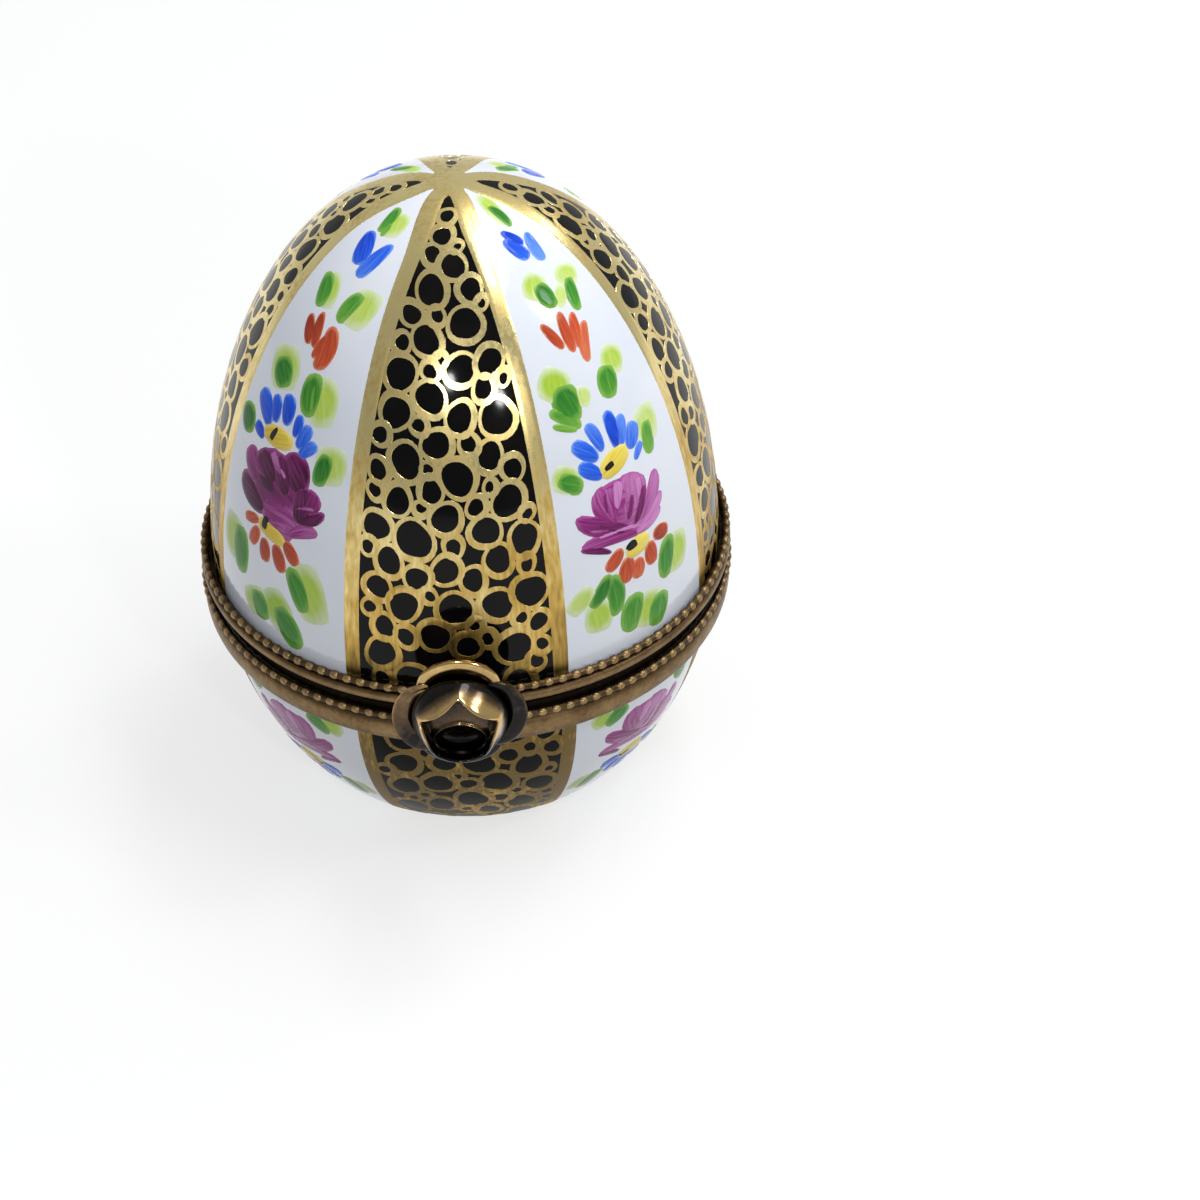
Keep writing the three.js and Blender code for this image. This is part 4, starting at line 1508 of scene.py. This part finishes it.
def pin_steel():
    finish, tree, shader = start_finish("pin_steel")
    drawn = mapped(tree, coordinates(tree, "Object"), SCRATCH_STRETCH)
    scratch = noise(tree, drawn, SCRATCH_SCALE, 2)
    set_inputs(shader, {
        "Base Color": ramp(tree, scratch, [(0.3, STEEL_DARK), (0.7, STEEL_BRIGHT)]),
        "Roughness": spread(tree, scratch, *NOISE_RANGE, 0.35, 0.22),
        "Metallic": 1.0,
    })
    return finish


PIN_STEEL = pin_steel()


def dress_fitting(node):
    source = frame["nodes"][node]
    bm = bmesh.new()
    bm.from_mesh(source.data)
    weld(bm, MESH_WELD)
    bmesh.ops.dissolve_limit(bm, angle_limit=FLAT_WITHIN, verts=bm.verts[:], edges=bm.edges[:])
    layer = bm.verts.layers.float.new("wear")
    sharp = [edge for edge in bm.edges if edge.is_manifold and edge.calc_face_angle() > EDGE_ABOVE]
    rounded = bmesh.ops.bevel(
        bm, geom=sharp, offset=EDGE_ROUND, offset_type="OFFSET", affect="EDGES", segments=EDGE_SEGMENTS,
        profile=0.5, material=-1, clamp_overlap=True,
    )
    for vert in bm.verts:
        vert[layer] = FLAT_WEAR
    for vert in rounded["verts"]:
        vert[layer] = EDGE_WEAR
    face_outwards(bm)
    steel = node == "hinge_pin"
    finish, slot = (PIN_STEEL, "pin_steel") if steel else (RIM_BRASS, "rim_brass")
    finish_piece(bm, f"{node}_dressed", source["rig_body"], [finish], [node])


for node in FITTINGS:
    dress_fitting(node)

# %% [markdown]
# ## Studio
#
# A wide pale floor and a soft sky, brighter behind than in front, show the form. Gloss needs something
# to mirror, so light panels stand where the glints on the lid point: a long one overhead, one at the
# right, one above the viewer, one low at the front right and one behind. Together they light a white
# sheet of paper as white and no more.

# %% Pale floor
FLOOR_SIZE = 3000 * MM
FLOOR_PALE = 0.95
FLOOR_BOUNCE = 0.23
FLOOR_GLOW = 0.66


def seen(tree):
    """One for rays that show the floor: to the camera, in a mirror or through glass."""
    rays = add(tree, "ShaderNodeLightPath").outputs
    mirrored = calc(tree, "MAXIMUM", rays["Is Glossy Ray"], rays["Is Transmission Ray"])
    return calc(tree, "MAXIMUM", rays["Is Camera Ray"], mirrored)


def pale_floor():
    """Near white to look at, and darker as a source of bounced light."""
    finish, tree, shader = start_finish("pale_floor")
    looked_at = seen(tree)
    dim, pale = ((level, level, level, 1.0) for level in (FLOOR_BOUNCE, FLOOR_PALE))
    colour = mix(tree, looked_at, dim, pale)
    set_inputs(shader, {"Base Color": colour, "Roughness": 0.8, "Specular IOR Level": 0.1})
    glow = add(tree, "ShaderNodeEmission", {"Strength": 1.0}).outputs["Emission"]
    share = calc(tree, "MULTIPLY", looked_at, FLOOR_GLOW)
    both = add(tree, "ShaderNodeMixShader", {0: share, 1: shader.outputs["BSDF"], 2: glow})
    set_inputs(tree.nodes["Material Output"], {"Surface": both.outputs["Shader"]})
    return finish


def make_floor():
    bm = bmesh.new()
    bmesh.ops.create_grid(bm, x_segments=1, y_segments=1, size=FLOOR_SIZE / 2)
    mesh = bpy.data.meshes.new("floor")
    bm.to_mesh(mesh)
    bm.free()
    floor = bpy.data.objects.new("floor", mesh)
    bpy.context.scene.collection.objects.link(floor)
    mesh.materials.append(pale_floor())


make_floor()
print("floor, m:", FLOOR_SIZE)

# %% Lights and world
LIGHT_DISTANCE = 700 * MM
SKY_IN_FRONT = 0.31
SKY_BEHIND = 0.64
SKY_COLOUR = (0.95, 0.98, 1.0, 1.0)


def panel_light(name, azimuth, elevation, size, radiance):
    """A light panel at the given angles in degrees, with its width and height in metres."""
    outward = outward_from(math.radians(azimuth), math.radians(elevation))
    data = bpy.data.lights.new(name, "AREA")
    data.shape = "ELLIPSE"
    data.size, data.size_y = size
    data.energy = radiance * math.pi**2 / 4 * size[0] * size[1]
    lamp = bpy.data.objects.new(name, data)
    lamp.location = Vector((0, 0, PARTING)) + outward * LIGHT_DISTANCE
    lamp.rotation_mode = "QUATERNION"
    lamp.rotation_quaternion = (-outward).to_track_quat("-Z", "Y")
    bpy.context.scene.collection.objects.link(lamp)
    print(name, "watts:", round(data.energy, 2))


def make_world():
    world = bpy.data.worlds.new("studio")
    world.use_nodes = True
    tree = world.node_tree
    behind = add(tree, "ShaderNodeSeparateXYZ", {0: coordinates(tree, "Generated")}).outputs["Y"]
    strength = spread(tree, behind, -1, 1, SKY_IN_FRONT, SKY_BEHIND)
    set_inputs(tree.nodes["Background"], {"Color": SKY_COLOUR, "Strength": strength})
    bpy.context.scene.world = world


make_world()
panel_light("overhead_panel", 106, 70, (0.6, 0.13), 11)
panel_light("right_panel", 79, 43, (0.14, 0.14), 15)
panel_light("viewer_panel", -3, 36, (0.06, 0.06), 80)
panel_light("front_right_panel", 25, 29, (0.06, 0.06), 80)
panel_light("back_panel", 131, 38, (0.1, 0.1), 18)
bpy.context.scene.view_settings.view_transform = "Standard"
